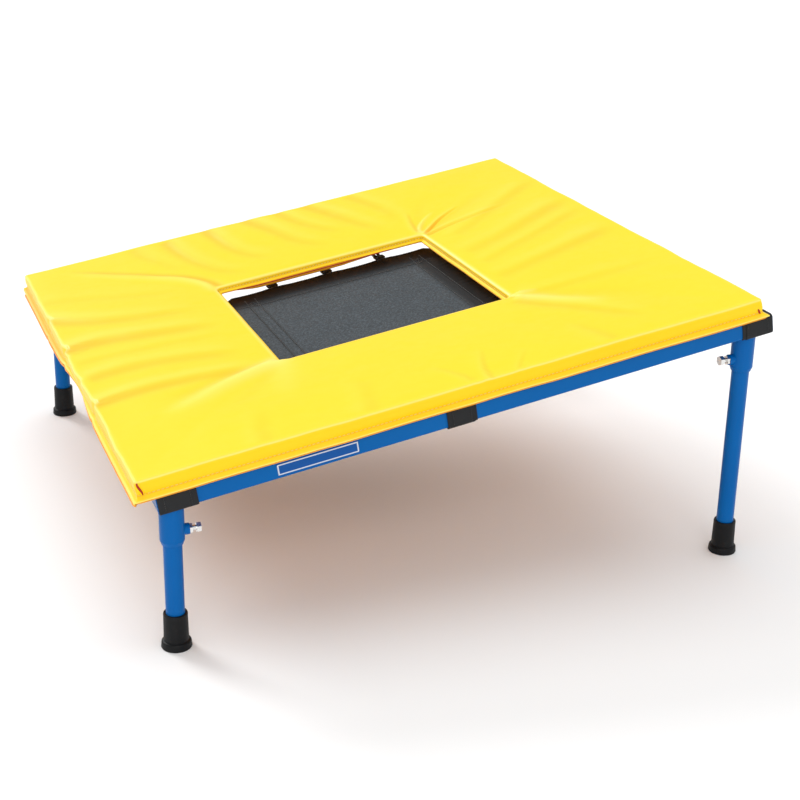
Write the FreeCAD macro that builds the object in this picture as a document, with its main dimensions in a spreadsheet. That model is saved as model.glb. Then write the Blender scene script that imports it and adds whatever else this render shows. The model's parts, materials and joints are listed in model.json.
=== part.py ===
import FreeCAD, Part
import math
import os
import re
import Sketcher
from FreeCAD import Placement, Rotation, Vector

# A rectangular mini-trampoline on four telescopic legs.
# +X runs along its length from the low end to the high end, +Y from front to back, +Z up.
# The origin is on the floor, at the middle of the whole object's footprint box.
# The frame, bed and pad share one tilted plane: u along the rails, v across them, n square to them.
# u and n start at the outer lower edge of the low rail, and v at the outer face of the front rail.

SIZES = {
    # square-tube frame
    "frame_length": 1250, "frame_depth": 1250, "rail_size": 35, "rail_wall": 2, "rail_round": 4,
    "tilt_angle": 9.4, "low_end_height": 284,
    # legs, sleeves and rubber boots
    "leg_radius": 17.5, "leg_wall": 2, "leg_gap": 0.3, "leg_travel": 35,
    "leg_inset_low": 28.5, "leg_inset_high": 46, "leg_inset_side": 30,
    "sleeve_wall": 5, "sleeve_drop": 78, "sleeve_cone": 8, "sleeve_cap": 7, "weld_wall": 2,
    "boot_height": 70, "boot_floor": 10, "boot_wall": 4.4, "boot_swell": 1.5, "boot_gap": 0.1,
    "sole_radius": 28.5, "sole_height": 14,
    # clamping screws
    "screw_radius": 5, "screw_fit": 0.05, "screw_rise": 24, "screw_tip_gap": 0.3,
    "boss_radius": 10.5, "boss_reach": 31, "nut_corner": 9.8, "nut_height": 5, "nut_gap": 0.2,
    "head_reach": 44, "head_height": 8, "head_corner": 9.8,
    # pad
    "pad_spare": 4, "pad_overhang": 28, "pad_top": 76, "pad_skin": 2,
    "pad_base": 2, "pad_lift": 2.3, "pad_margin": 60, "pad_lip": 10.5, "foam_gap": 0.3,
    "opening_inset_u": 20, "opening_inset_v": 25, "opening_top": 58, "opening_lip": 6,
    # straps that hold the pad to the rails
    "strap_thick": 2, "strap_gap": 0.15, "strap_low_width": 72, "strap_mid_width": 60,
    "strap_high_width": 68, "strap_mid_shift": 73, "strap_end": 1.5,
    # jumping bed and its rubber cables
    "bed_size": 540, "bed_corner": 30, "bed_thick": 2, "bed_level": 15, "hem_width": 65,
    "hem_thick": 1.5, "bed_travel": 120, "cable_pitch": 135, "cable_radius": 4, "wire_radius": 2.25,
    "link_length": 18, "link_width": 22, "link_round": 4, "tab_reach": 12, "tab_width": 14,
    "tab_inside": 30, "tab_thick": 3, "link_gap": 0.3, "hook_radius": 3, "hook_reach": 16,
    "hook_width": 18, "corner_rod": 48,
    # blank name plate
    "label_place": 222, "label_length": 156, "label_height": 25, "label_thick": 0.5,
}

doc = FreeCAD.newDocument("MiniTrampoline")
sheet = doc.addObject("Spreadsheet::Sheet", "Sizes")
for row, (alias, number) in enumerate(SIZES.items(), start=1):
    sheet.set(f"A{row}", alias)
    sheet.set(f"B{row}", str(number))
    sheet.setAlias(f"B{row}", alias)
doc.recompute()

parts = []


def size(alias):
    """The number in the sheet's cell of that name."""
    return float(sheet.get(alias))


def cells(formula):
    """The formula with each alias pointed at the sheet."""
    return re.sub(r"[a-z]\w*", lambda m: f"Sizes.{m[0]}" if m[0] in SIZES else m[0], str(formula))


def bind(thing, **formulas):
    for name, formula in formulas.items():
        thing.setExpression(name, cells(formula))
    return thing


def keep(thing, label, placement=None):
    """List a finished sub-part under its label."""
    thing.Label = label
    if placement is not None:
        thing.Placement = placement
    parts.append(thing)
    return thing


# ---------------------------------------------------------------- worked-out places

tilt = size("tilt_angle")
slope = math.tan(math.radians(tilt))
frame_length = size("frame_length")
frame_depth = size("frame_depth")
rail_size = size("rail_size")

tilt_turn = Rotation(Vector(0, 1, 0), -tilt)
along = tilt_turn.multVec(Vector(1, 0, 0))
normal = tilt_turn.multVec(Vector(0, 0, 1))

base_level = rail_size + size("pad_lift")
skin_level = base_level + size("pad_base")
lip_corner = along * -(size("pad_overhang") + size("pad_lip")) + normal * (skin_level + size("pad_skin"))
round_edge = size("rail_round")
high_corner = along * (frame_length - round_edge) + normal * round_edge
middle_x = (lip_corner.x + high_corner.x + round_edge) / 2
middle_y = frame_depth / 2
tilted = Placement(Vector(-middle_x, -middle_y, size("low_end_height")), tilt_turn)

LEGS = {}
for end, x in (("low", size("leg_inset_low")),
               ("high", frame_length * math.cos(math.radians(tilt)) - size("leg_inset_high"))):
    for side, y in (("front", size("leg_inset_side")), ("back", frame_depth - size("leg_inset_side"))):
        underside = size("low_end_height") + x * slope
        LEGS[f"{side}_{end}"] = (x - middle_x, y - middle_y, underside - size("sleeve_drop"),
                                 0 if end == "low" else 180)


# ---------------------------------------------------------------- shape helpers

def box(name, low, high):
    """A box between two corners, each given as three formulas."""
    solid = doc.addObject("Part::Box", name)
    for axis, side, a, b in zip("xyz", ("Length", "Width", "Height"), low, high):
        bind(solid, **{side: f"({b}) - ({a})", f"Placement.Base.{axis}": a})
    return solid


def cylinder(name, radius, height, placement=None):
    solid = bind(doc.addObject("Part::Cylinder", name), Radius=radius, Height=height)
    if placement is not None:
        solid.Placement = placement
    return solid


def hexagon(name, corner, height, placement):
    solid = doc.addObject("Part::Prism", name)
    solid.Polygon = 6
    solid.Placement = placement
    return bind(solid, Circumradius=corner, Height=height)


def cut(name, base, *tools):
    for count, tool in enumerate(tools):
        result = doc.addObject("Part::Cut", f"{name}_{count}")
        result.Base, result.Tool = base, tool
        base = result
    return base


def join(name, *shapes):
    result = doc.addObject("Part::MultiFuse", name)
    result.Shapes = list(shapes)
    return result


def common(name, base, tool):
    result = doc.addObject("Part::Common", name)
    result.Base, result.Tool = base, tool
    return result


def frustum(name, lower, upper, bottom, top):
    """A block whose lower and upper faces are rectangles (u0, u1, v0, v1), made along Y and stood up."""
    wedge = doc.addObject("Part::Wedge", name)
    low_u, high_u, low_v, high_v = lower
    up_low_u, up_high_u, up_low_v, up_high_v = upper
    bind(wedge, Xmin=low_u, Xmax=high_u, Zmin=f"-({high_v})", Zmax=f"-({low_v})", Ymin=bottom, Ymax=top,
         X2min=up_low_u, X2max=up_high_u, Z2min=f"-({up_high_v})", Z2max=f"-({up_low_v})")
    wedge.Placement = Placement(Vector(), Rotation(Vector(1, 0, 0), 90))
    return wedge


def plane_of(body, role):
    return next(item for item in body.Origin.OriginFeatures if item.Role == role)


def polygon(body, role, name, loops):
    """A sketch of closed loops of straight lines, every corner held by two bound distances."""
    sketch = body.newObject("Sketcher::SketchObject", name)
    sketch.AttachmentSupport = [(plane_of(body, role), "")]
    sketch.MapMode = "FlatFace"
    for number, loop in enumerate(loops):
        first = sketch.GeometryCount
        spots = [Vector(evaluate(x), evaluate(y), 0) for x, y in loop]
        for start, end in zip(spots, spots[1:] + spots[:1]):
            sketch.addGeometry(Part.LineSegment(start, end), False)
        for step, (x, y) in enumerate(loop):
            edge = first + step
            following = first + (step + 1) % len(loop)
            sketch.addConstraint(Sketcher.Constraint("Coincident", edge, 2, following, 1))
            for kind, formula, value in (("DistanceX", x, spots[step].x), ("DistanceY", y, spots[step].y)):
                index = sketch.addConstraint(Sketcher.Constraint(kind, -1, 1, edge, 1, value))
                word = f"{kind.lower()}_{number}_{step}"
                sketch.renameConstraint(index, word)
                sketch.setExpression(f"Constraints.{word}", cells(formula))
    return sketch


def evaluate(formula):
    """The number a formula of aliases gives now."""
    return float(sheet.evalExpression(cells(formula)))


def pad_feature(body, sketch, length, name="Pad"):
    feature = body.newObject("PartDesign::Pad", name)
    feature.Profile = sketch
    bind(feature, Length=length)
    body.Tip = feature
    doc.recompute()
    return feature


def bend(centre, radius, start_angle):
    """A quarter circle in XY, turning left from start_angle in degrees."""
    a, b, c = (centre + Rotation(Vector(0, 0, 1), start_angle + k * 45).multVec(Vector(radius, 0, 0))
               for k in range(3))
    return Part.Arc(a, b, c).toShape()


def rounded_loop(length, width, corner):
    """A closed wire: a rectangle with rounded corners in XY, from x = 0 to length, centred on y = 0."""
    low, high, side = corner, length - corner, width / 2 - corner
    bends = [bend(Vector(x, y, 0), corner, angle)
             for x, y, angle in ((high, -side, -90), (high, side, 0), (low, side, 90), (low, -side, 180))]
    edges = []
    for arc, following in zip(bends, bends[1:] + bends[:1]):
        edges.append(arc)
        run = (following.Vertexes[0].Point, arc.Vertexes[-1].Point)
        if (run[0] - run[1]).Length > 1e-6:
            edges.append(Part.LineSegment(run[1], run[0]).toShape())
    return Part.Wire(edges)


def rod_along(wire, radius):
    """A round bar whose centre line is the wire."""
    start = wire.Edges[0]
    ring = Part.Circle(start.valueAt(start.FirstParameter), start.tangentAt(start.FirstParameter), radius)
    return wire.makePipeShell([Part.Wire([ring.toShape()])], True, False)


# ---------------------------------------------------------------- frame

def rail(label, length, placement):
    """Square tube with rounded edges and mitred ends; its outer face is at y = 0."""
    body = doc.addObject("PartDesign::Body", label + "_body")
    far = f"{length}"
    outline = polygon(body, "YZ_Plane", "Outline", [
        [("0", "0"), ("rail_size", "0"), ("rail_size", "rail_size"), ("0", "rail_size")]])
    bar = pad_feature(body, outline, length)
    edges = [f"Edge{k + 1}" for k, edge in enumerate(bar.Shape.Edges)
             if abs(edge.tangentAt(edge.FirstParameter).x) > 0.99]
    rounds = body.newObject("PartDesign::Fillet", "Rounds")
    rounds.Base = (bar, edges)
    bind(rounds, Radius="rail_round")
    body.Tip = rounds
    inner = polygon(body, "YZ_Plane", "Bore", [
        [("rail_wall", "rail_wall"), ("rail_size - rail_wall", "rail_wall"),
         ("rail_size - rail_wall", "rail_size - rail_wall"), ("rail_wall", "rail_size - rail_wall")]])
    bore = body.newObject("PartDesign::Pocket", "BorePocket")
    bore.Profile = inner
    bore.Reversed = True
    bind(bore, Length=f"{length}")
    body.Tip = bore
    mitres = polygon(body, "XY_Plane", "Mitres", [
        [("0", "0"), ("rail_size", "rail_size"), ("0", "rail_size")],
        [(far, "0"), (far, "rail_size"), (f"{far} - rail_size", "rail_size")]])
    ends = body.newObject("PartDesign::Pocket", "MitrePocket")
    ends.Profile = mitres
    ends.Midplane = True
    bind(ends, Length="rail_size * 3")
    body.Tip = ends
    return keep(body, label, tilted * placement)


RAILS = {
    "rail_front": ("frame_length", (0, 0), 0),
    "rail_back": ("frame_length", (frame_length, frame_depth), 180),
    "rail_low": ("frame_depth", (0, frame_depth), -90),
    "rail_high": ("frame_depth", (frame_length, 0), 90),
}
for label, (length, corner, angle) in RAILS.items():
    rail(label, length, Placement(Vector(*corner, 0), Rotation(Vector(0, 0, 1), angle)))

label_plate = doc.addObject("Part::Box", "Label")
bind(label_plate, Length="label_length", Width="label_thick", Height="label_height")
label_rise = (rail_size - size("label_height")) / 2
keep(label_plate, "blank_label",
     tilted * Placement(Vector(size("label_place"), -size("label_thick"), label_rise), Rotation()))


# ---------------------------------------------------------------- legs and their clamps

SLEEVE_RADIUS = "leg_radius + leg_gap + sleeve_wall"


def outward(distance, height, turn):
    """A place on the screw's axis, with local Z along it, away from the leg."""
    spin = Rotation(Vector(0, 0, 1), turn)
    start = spin.multVec(Vector(distance, 0, height))
    return Placement(start, spin * Rotation(Vector(0, 1, 0), 90))


def sleeve(name, x, y, bottom, turn):
    """Socket under the frame's corner: a capped tube, its top cut along the rails, with a screw boss."""
    tube = cylinder("Tube", SLEEVE_RADIUS, "sleeve_drop * 1.3 - sleeve_cone",
                    Placement(Vector(0, 0, size("sleeve_cone")), Rotation()))
    cone = doc.addObject("Part::Cone", "Cone")
    bind(cone, Radius1="leg_radius + leg_gap + weld_wall", Radius2=SLEEVE_RADIUS, Height="sleeve_cone")
    boss_start = size("leg_radius") + size("leg_gap") + size("weld_wall")
    boss = cylinder("Boss", "boss_radius", "boss_reach - leg_radius - leg_gap - weld_wall",
                    outward(boss_start, size("screw_rise"), turn))
    bore = cylinder("Bore", "leg_radius + leg_gap", "sleeve_drop - sleeve_cap")
    hole = cylinder("ScrewHole", "screw_radius + screw_fit", "boss_reach * 1.2",
                    outward(0, size("screw_rise"), turn))
    half_plane = doc.addObject("Part::Box", "AboveRails")
    bind(half_plane, Length="sleeve_drop * 2", Width="sleeve_drop * 2", Height="sleeve_drop")
    reach = size("sleeve_drop")
    half_plane.Placement = (Placement(Vector(0, 0, size("sleeve_drop")), tilt_turn)
                            * Placement(Vector(-reach, -reach, 0), Rotation()))
    body = cut("Sleeve", join("SleeveSolid", tube, cone, boss), bore, hole, half_plane)
    keep(body, f"sleeve_{name}", Placement(Vector(x, y, bottom), Rotation()))


def leg(name, x, y, bottom):
    """Round tube from the boot's floor up to the sleeve's cap."""
    body = doc.addObject("PartDesign::Body", f"leg_{name}_body")
    sketch = body.newObject("Sketcher::SketchObject", "Ring")
    sketch.AttachmentSupport = [(plane_of(body, "XY_Plane"), "")]
    sketch.MapMode = "FlatFace"
    circles = {"outside": "leg_radius", "inside": "leg_radius - leg_wall"}
    for index, (word, formula) in enumerate(circles.items()):
        sketch.addGeometry(Part.Circle(Vector(0, 0, 0), Vector(0, 0, 1), evaluate(formula)), False)
        sketch.addConstraint(Sketcher.Constraint("Coincident", index, 3, -1, 1))
        held = sketch.addConstraint(Sketcher.Constraint("Radius", index, evaluate(formula)))
        sketch.renameConstraint(held, word)
        sketch.setExpression(f"Constraints.{word}", cells(formula))
    end = "low" if name.endswith("low") else "high"
    run = {"low": "leg_inset_low", "high": "frame_length * cos(tilt_angle) - leg_inset_high"}[end]
    underside = f"low_end_height + ({run}) * tan(tilt_angle)"
    pad_feature(body, sketch, f"{underside} - sleeve_cap - leg_gap - boot_floor")
    keep(body, f"leg_{name}", Placement(Vector(x, y, size("boot_floor")), Rotation()))


def boot(name, x, y):
    """Rubber cup with a swollen body and a wider sole."""
    body = doc.addObject("PartDesign::Body", f"boot_{name}_body")
    top = "leg_radius + boot_wall"
    low = "leg_radius + boot_wall + boot_swell"
    bore = "leg_radius + boot_gap"
    sketch = polygon(body, "XZ_Plane", "Profile", [[
        ("0", "0"), ("sole_radius - 1", "0"), ("sole_radius", "2"), ("sole_radius - 1", "sole_height - 2"),
        ("sole_radius - 2.5", "sole_height"), (low, "sole_height + 1"), (f"{top} + 0.6", "boot_height - 9"),
        (f"{top} + 0.6", "boot_height - 2"), (top, "boot_height"), (bore, "boot_height"),
        (bore, "boot_floor"), ("0", "boot_floor")]])
    turn = body.newObject("PartDesign::Revolution", "Turned")
    turn.Profile = sketch
    turn.ReferenceAxis = (sketch, ["V_Axis"])
    turn.Angle = 360
    body.Tip = turn
    keep(body, f"boot_{name}", Placement(Vector(x, y, 0), Rotation()))


def clamp(name, x, y, bottom, turn):
    """Lock nut and hexagon-head clamping screw, pointing at the leg."""
    height = bottom + size("screw_rise")
    seat = Placement(Vector(x, y, 0), Rotation())
    nut_start = size("boss_reach") + size("nut_gap")
    nut = hexagon("Nut", "nut_corner", "nut_height", outward(nut_start, height, turn))
    nut_hole = cylinder("NutHole", "screw_radius + screw_fit", "nut_height * 3",
                        outward(nut_start - size("nut_height"), height, turn))
    keep(cut("LockNut", nut, nut_hole), f"lock_nut_{name}", seat)
    tip = size("leg_radius") + size("screw_tip_gap")
    shank = cylinder("Shank", "screw_radius", "head_reach - leg_radius - screw_tip_gap",
                     outward(tip, height, turn))
    head = hexagon("Head", "head_corner", "head_height", outward(size("head_reach"), height, turn))
    keep(join("SetScrew", shank, head), f"set_screw_{name}", seat)


for name, (x, y, bottom, turn) in LEGS.items():
    sleeve(name, x, y, bottom, turn)
    leg(name, x, y, bottom)
    boot(name, x, y)
    clamp(name, x, y, bottom, turn)


# ---------------------------------------------------------------- pad

PAD_U0 = "-pad_overhang"
PAD_U1 = "frame_length + pad_spare - pad_overhang"
PAD_V0 = "-pad_spare / 2"
PAD_V1 = "frame_depth + pad_spare / 2"
HOLE_MIDDLE_U = "(frame_length + pad_spare) / 2 - pad_overhang"
HOLE_U0 = f"{HOLE_MIDDLE_U} - (bed_size / 2 - opening_inset_u)"
HOLE_U1 = f"{HOLE_MIDDLE_U} + (bed_size / 2 - opening_inset_u)"
HOLE_V0 = "frame_depth / 2 - (bed_size / 2 - opening_inset_v)"
HOLE_V1 = "frame_depth / 2 + (bed_size / 2 - opening_inset_v)"
BASE = "rail_size + pad_lift"
SKIN = "rail_size + pad_lift + pad_base"


def grown(rectangle, amount):
    """The rectangle (u0, u1, v0, v1) with every side moved outward."""
    u0, u1, v0, v1 = rectangle
    return (f"{u0} - ({amount})", f"{u1} + ({amount})", f"{v0} - ({amount})", f"{v1} + ({amount})")


OUTER = (PAD_U0, PAD_U1, PAD_V0, PAD_V1)
HOLE = (HOLE_U0, HOLE_U1, HOLE_V0, HOLE_V1)


def plate(name, rectangle, bottom, top):
    u0, u1, v0, v1 = rectangle
    return box(name, (u0, v0, bottom), (u1, v1, top))


def hipped_ring(name, inset, bottom):
    """The pad's outline with a top that falls from its rim to the opening, moved in by inset."""
    block = plate(name + "Block", grown(OUTER, f"-({inset})"), bottom, f"pad_top - ({inset})")
    funnel = frustum(name + "Funnel", grown(HOLE, inset), grown(OUTER, "-pad_margin"),
                     f"opening_top - ({inset})", f"pad_top - ({inset})")
    way = plate(name + "Way", grown(HOLE, inset), f"{BASE} - 5", "pad_top + 5")
    return cut(name, block, funnel, way)


lip_plate = plate("LipPlate", grown(OUTER, "pad_lip"), SKIN, f"{SKIN} + pad_skin")
lip_way = plate("LipWay", grown(HOLE, "-opening_lip"), f"{BASE} - 5", "pad_top + 5")
cavity = hipped_ring("Cavity", "pad_skin", SKIN)
shell = join("CoverSolid", hipped_ring("Shell", "0", SKIN), cut("Lip", lip_plate, lip_way))
keep(cut("Cover", shell, cavity), "pad_cover", tilted)

base_plate = plate("BasePlate", grown(OUTER, "pad_lip"), BASE, SKIN)
base_way = plate("BaseWay", grown(HOLE, "-opening_lip"), f"{BASE} - 5", "pad_top + 5")
keep(cut("Base", base_plate, base_way), "pad_base", tilted)

foam_ring = hipped_ring("FoamRing", "pad_skin + foam_gap", f"{SKIN} + foam_gap")


def mitred_block(name, near, far, place):
    """A trapezium in plan, as tall as the pad: near and far are (low, high) along its long side."""
    wedge = doc.addObject("Part::Wedge", name)
    start, end = place
    bind(wedge, Xmin=near[0], Xmax=near[1], X2min=far[0], X2max=far[1], Ymin=start, Ymax=end,
         Zmin="0", Zmax="pad_top * 2", Z2min="0", Z2max="pad_top * 2")
    return wedge


across = Placement(Vector(), Rotation(Vector(0, 0, 1), 90))
FOAMS = {
    "foam_front": ((PAD_U0, PAD_U1), (HOLE_U0, HOLE_U1), (PAD_V0, HOLE_V0), None),
    "foam_back": ((HOLE_U0, HOLE_U1), (PAD_U0, PAD_U1), (HOLE_V1, PAD_V1), None),
    "foam_low": ((HOLE_V0, HOLE_V1), (PAD_V0, PAD_V1), (f"-({HOLE_U0})", f"-({PAD_U0})"), across),
    "foam_high": ((PAD_V0, PAD_V1), (HOLE_V0, HOLE_V1), (f"-({PAD_U1})", f"-({HOLE_U1})"), across),
}
for label, (near, far, place, turned) in FOAMS.items():
    wedge = mitred_block(label + "_plan", near, far, place)
    if turned is not None:
        wedge.Placement = turned
    keep(common(label + "_solid", foam_ring, wedge), label, tilted)


# ---------------------------------------------------------------- straps round the rails

def strap(label, start, end, back, corner=None):
    """A flat band round a rail; at a corner it leaves out the side rail and the sleeve under it."""
    near = "frame_depth - rail_size" if back else "0"
    far = "frame_depth" if back else "rail_size"
    reach = "(strap_gap + strap_thick)"
    outer = box(label + "_outer", (start, f"{near} - {reach}", f"-{reach}"),
                (end, f"{far} + {reach}", f"rail_size + {reach}"))
    inner = box(label + "_inner", (f"{start} - 5", f"{near} - strap_gap", "-strap_gap"),
                (f"{end} + 5", f"{far} + strap_gap", "rail_size + strap_gap"))
    tools = [inner]
    if corner is not None:
        side_rail, bare_under = corner
        inside = (f"{near} - {reach} - 1", near) if back else (far, f"{far} + {reach} + 1")
        tools.append(box(label + "_rail", (side_rail[0], inside[0], f"-{reach} - 1"),
                         (side_rail[1], inside[1], "rail_size + strap_gap")))
        tools.append(box(label + "_under", (bare_under[0], f"{near} - {reach} - 1", f"-{reach} - 1"),
                         (bare_under[1], f"{far} + {reach} + 1", "strap_gap")))
    keep(cut(label + "_band", outer, *tools), label, tilted)


LOW_CORNER = (("-1", "rail_size + strap_gap"),
              ("-1", f"leg_inset_low / cos(tilt_angle) + {SLEEVE_RADIUS} + 1"))
HIGH_CORNER = (("frame_length - rail_size - strap_gap", "frame_length + 1"),
               ("frame_length - strap_high_width - 9", "frame_length + 1"))
for side, back in (("front", False), ("back", True)):
    strap(f"strap_{side}_low", "strap_end", "strap_end + strap_low_width", back, LOW_CORNER)
    strap(f"strap_{side}_middle", "frame_length / 2 - strap_mid_shift",
          "frame_length / 2 - strap_mid_shift + strap_mid_width", back)
    strap(f"strap_{side}_high", "frame_length - strap_end - strap_high_width", "frame_length - strap_end",
          back, HIGH_CORNER)


# ---------------------------------------------------------------- bed and cables

BED_HALF = "bed_size / 2"


def octagon(half, corner):
    """A square with its corners cut off, centred on the origin."""
    wide, short = f"({half})", f"(({half}) - ({corner}))"
    return [(f"-{short}", f"-{wide}"), (short, f"-{wide}"), (wide, f"-{short}"), (wide, short),
            (short, wide), (f"-{short}", wide), (f"-{wide}", short), (f"-{wide}", f"-{short}")]


bed_centre = Vector(frame_length / 2, frame_depth / 2, 0)


def bed_layer(label, loops, level, thick):
    body = doc.addObject("PartDesign::Body", label + "_body")
    pad_feature(body, polygon(body, "XY_Plane", "Outline", loops), thick)
    keep(body, label, tilted * Placement(bed_centre + Vector(0, 0, level), Rotation()))


mat_bottom = size("bed_level") - size("bed_thick") / 2
bed_layer("bed_mat", [octagon(BED_HALF, "bed_corner")], mat_bottom, "bed_thick")
bed_layer("bed_hem", [octagon(BED_HALF, "bed_corner"), octagon(f"{BED_HALF} - hem_width", "bed_corner")],
          mat_bottom + size("bed_thick"), "hem_thick")


def solids(label, shapes):
    """Several loose solids of one kind under one label."""
    group = doc.addObject("Part::Feature", label + "_group")
    group.Shape = Part.makeCompound(shapes)
    keep(group, label, tilted)


def station(angle, offset):
    """Local X points outward from the bed's centre, at the cables' level, moved sideways by offset."""
    turn = Rotation(Vector(0, 0, 1), angle)
    return Placement(bed_centre + Vector(0, 0, size("bed_level")) + turn.multVec(Vector(0, offset, 0)), turn)


half_bed = size("bed_size") / 2
half_frame = {0: frame_length / 2, 90: frame_depth / 2, 180: frame_length / 2, 270: frame_depth / 2}
SIDES = {"high": 0, "back": 90, "low": 180, "front": 270}
wire = size("wire_radius")
link_start = size("tab_reach")
link_pull = wire + size("link_gap") + size("cable_radius")
hook_pull = size("hook_radius") + size("link_gap") + size("cable_radius")
tabs, links, hooks, corner_cables = [], [], [], []


def moved(shape, place):
    shape.Placement = place
    return shape


def tab(place, edge):
    """Webbing folded round the link's inner bar, with its tail under the mat."""
    width, thick = size("tab_width"), size("tab_thick")
    fold = wire + size("link_gap")
    tail = Part.makeBox(size("tab_inside") + link_start, width, thick,
                        Vector(edge - size("tab_inside"), -width / 2, -size("bed_thick") / 2 - thick))
    sideways = Vector(0, 1, 0)
    knuckle = Part.makeCylinder(fold + thick / 2, width, Vector(edge + link_start, -width / 2, 0), sideways)
    eye = Part.makeCylinder(fold, width * 2, Vector(edge + link_start, -width, 0), sideways)
    solid = tail.fuse(knuckle).cut(eye).removeSplitter()
    return moved(solid, place)


def link(place, edge):
    """Rounded rectangular wire link, lying in the bed's plane."""
    loop = rounded_loop(size("link_length"), size("link_width"), size("link_round"))
    loop.Placement = Placement(Vector(edge + link_start, 0, 0), Rotation())
    return moved(rod_along(loop, wire), place)


def cable(place, start, end):
    """Rubber cord loop on edge, pulled against the link's outer bar and against the hook."""
    radius = max(link_pull, hook_pull)
    loop = rounded_loop(end + hook_pull - start + link_pull, 2 * radius, radius)
    loop.Placement = Placement(Vector(start - link_pull, 0, 0), Rotation(Vector(1, 0, 0), 90))
    return moved(rod_along(loop, size("cable_radius")), place)


def hook(place, face):
    """Round-bar staple on the rail's inner face."""
    half, turn = size("hook_width") / 2, size("hook_radius") * 1.5
    bar = face - size("hook_reach")
    first = bend(Vector(bar + turn, half - turn, 0), turn, 90)
    last = bend(Vector(bar + turn, turn - half, 0), turn, 180)
    legs = [Part.LineSegment(Vector(face, half, 0), Vector(bar + turn, half, 0)).toShape(),
            Part.LineSegment(Vector(bar + turn, -half, 0), Vector(face, -half, 0)).toShape()]
    bar_run = Part.LineSegment(Vector(bar, half - turn, 0), Vector(bar, turn - half, 0)).toShape()
    return moved(rod_along(Part.Wire([legs[0], first, bar_run, last, legs[1]]), size("hook_radius")), place)


for side, angle in SIDES.items():
    cables = []
    face = half_frame[angle] - rail_size
    for count in (-1, 0, 1):
        place = station(angle, count * size("cable_pitch"))
        tabs.append(tab(place, half_bed))
        links.append(link(place, half_bed))
        hooks.append(hook(place, face))
        cables.append(cable(place, half_bed + link_start + size("link_length"), face - size("hook_reach")))
    solids(f"cables_{side}", cables)

inner_space = Part.makeBox(frame_length - 2 * rail_size, frame_depth - 2 * rail_size, rail_size,
                           Vector(rail_size, rail_size, 0))
corner_reach = half_bed - size("bed_corner") / 2
rod_reach = size("corner_rod") / 2
for along_u in (-1, 1):
    for along_v in (-1, 1):
        bed_spot = Vector(along_u, along_v, 0) * corner_reach
        rod_spot = Vector(along_u * (frame_length / 2 - rail_size - rod_reach),
                          along_v * (frame_depth / 2 - rail_size - rod_reach), 0)
        aim = rod_spot - bed_spot
        turn = Rotation(Vector(0, 0, 1), math.degrees(math.atan2(aim.y, aim.x)))
        place = Placement(bed_centre + bed_spot + Vector(0, 0, size("bed_level")), turn)
        tabs.append(tab(place, 0))
        links.append(link(place, 0))
        corner_cables.append(cable(place, link_start + size("link_length"), aim.Length))
        rod_length = size("corner_rod") * 3
        rod = Part.makeCylinder(size("hook_radius"), rod_length,
                                Vector(aim.Length, -rod_length / 2, 0), Vector(0, 1, 0))
        rod.Placement = place * rod.Placement
        hooks.append(rod.common(inner_space))

solids("cables_corner", corner_cables)
solids("bed_tabs", tabs)
solids("bed_links", links)
solids("cable_hooks", hooks)


# ---------------------------------------------------------------- check and write

doc.recompute()
for thing in doc.Objects:
    if {"Invalid", "Error"} & set(thing.State):
        raise RuntimeError(f"{thing.Label} failed: {thing.State}")
for thing in parts:
    if thing.Shape.isNull() or not thing.Shape.isValid() or not thing.Shape.Solids:
        raise RuntimeError(f"{thing.Label} has no valid solid")

os.makedirs("parts", exist_ok=True)
for thing in parts:
    thing.Shape.exportStep(f"parts/{thing.Label}.step")
print(len(parts), "sub-parts written")
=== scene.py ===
"""Looks of the square mini-trampoline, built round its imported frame. Local sizes are in millimetres in
the tilted frame's own directions: u along it from the low end, v across it from the front, n up out of it."""
import math

import bpy
import json
import numpy as np
from mathutils import Matrix, Vector


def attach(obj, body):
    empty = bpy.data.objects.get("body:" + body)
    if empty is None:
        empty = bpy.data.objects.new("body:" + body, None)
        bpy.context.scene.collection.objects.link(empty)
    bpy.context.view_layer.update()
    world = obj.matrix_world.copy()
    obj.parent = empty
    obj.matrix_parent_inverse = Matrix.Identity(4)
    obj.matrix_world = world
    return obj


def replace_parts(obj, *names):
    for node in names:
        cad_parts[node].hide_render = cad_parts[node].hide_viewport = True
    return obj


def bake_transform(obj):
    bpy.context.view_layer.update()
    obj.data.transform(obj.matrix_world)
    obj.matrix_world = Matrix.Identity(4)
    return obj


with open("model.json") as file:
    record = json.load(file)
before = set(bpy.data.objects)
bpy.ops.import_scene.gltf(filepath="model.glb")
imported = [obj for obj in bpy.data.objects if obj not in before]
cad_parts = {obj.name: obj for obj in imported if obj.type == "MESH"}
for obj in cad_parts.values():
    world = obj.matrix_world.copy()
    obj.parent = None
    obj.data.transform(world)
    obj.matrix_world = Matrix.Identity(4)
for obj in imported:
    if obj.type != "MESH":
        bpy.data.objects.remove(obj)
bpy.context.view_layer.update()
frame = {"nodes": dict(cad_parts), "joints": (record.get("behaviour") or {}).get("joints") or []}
cad = frame["nodes"]

# ---------------------------------------------------------------- the tilted frame's directions

bounce = next(j for j in frame["joints"] if j["name"] == "bed_bounce")
NORMAL = -np.array(bounce["axis"], float)
ACROSS = np.array([0.0, 1.0, 0.0])
ALONG = np.cross(ACROSS, NORMAL)
AXES = np.stack([ALONG, ACROSS, NORMAL])


def node_points(*names):
    parts = []
    for name in names:
        mesh = cad[name].data
        co = np.empty(len(mesh.vertices) * 3)
        mesh.vertices.foreach_get("co", co)
        parts.append(co.reshape(-1, 3))
    return np.concatenate(parts)


RAILS = ("rail_front", "rail_back", "rail_low", "rail_high")
rail_local = node_points(*RAILS) @ AXES.T
CORNER = rail_local.min(0) @ AXES
LENGTH, DEPTH, RAIL = (rail_local.max(0) - rail_local.min(0)) * 1000


def place(points):
    """Local millimetres to metres in the row frame."""
    return CORNER + np.asarray(points, float) / 1000 @ AXES


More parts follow.
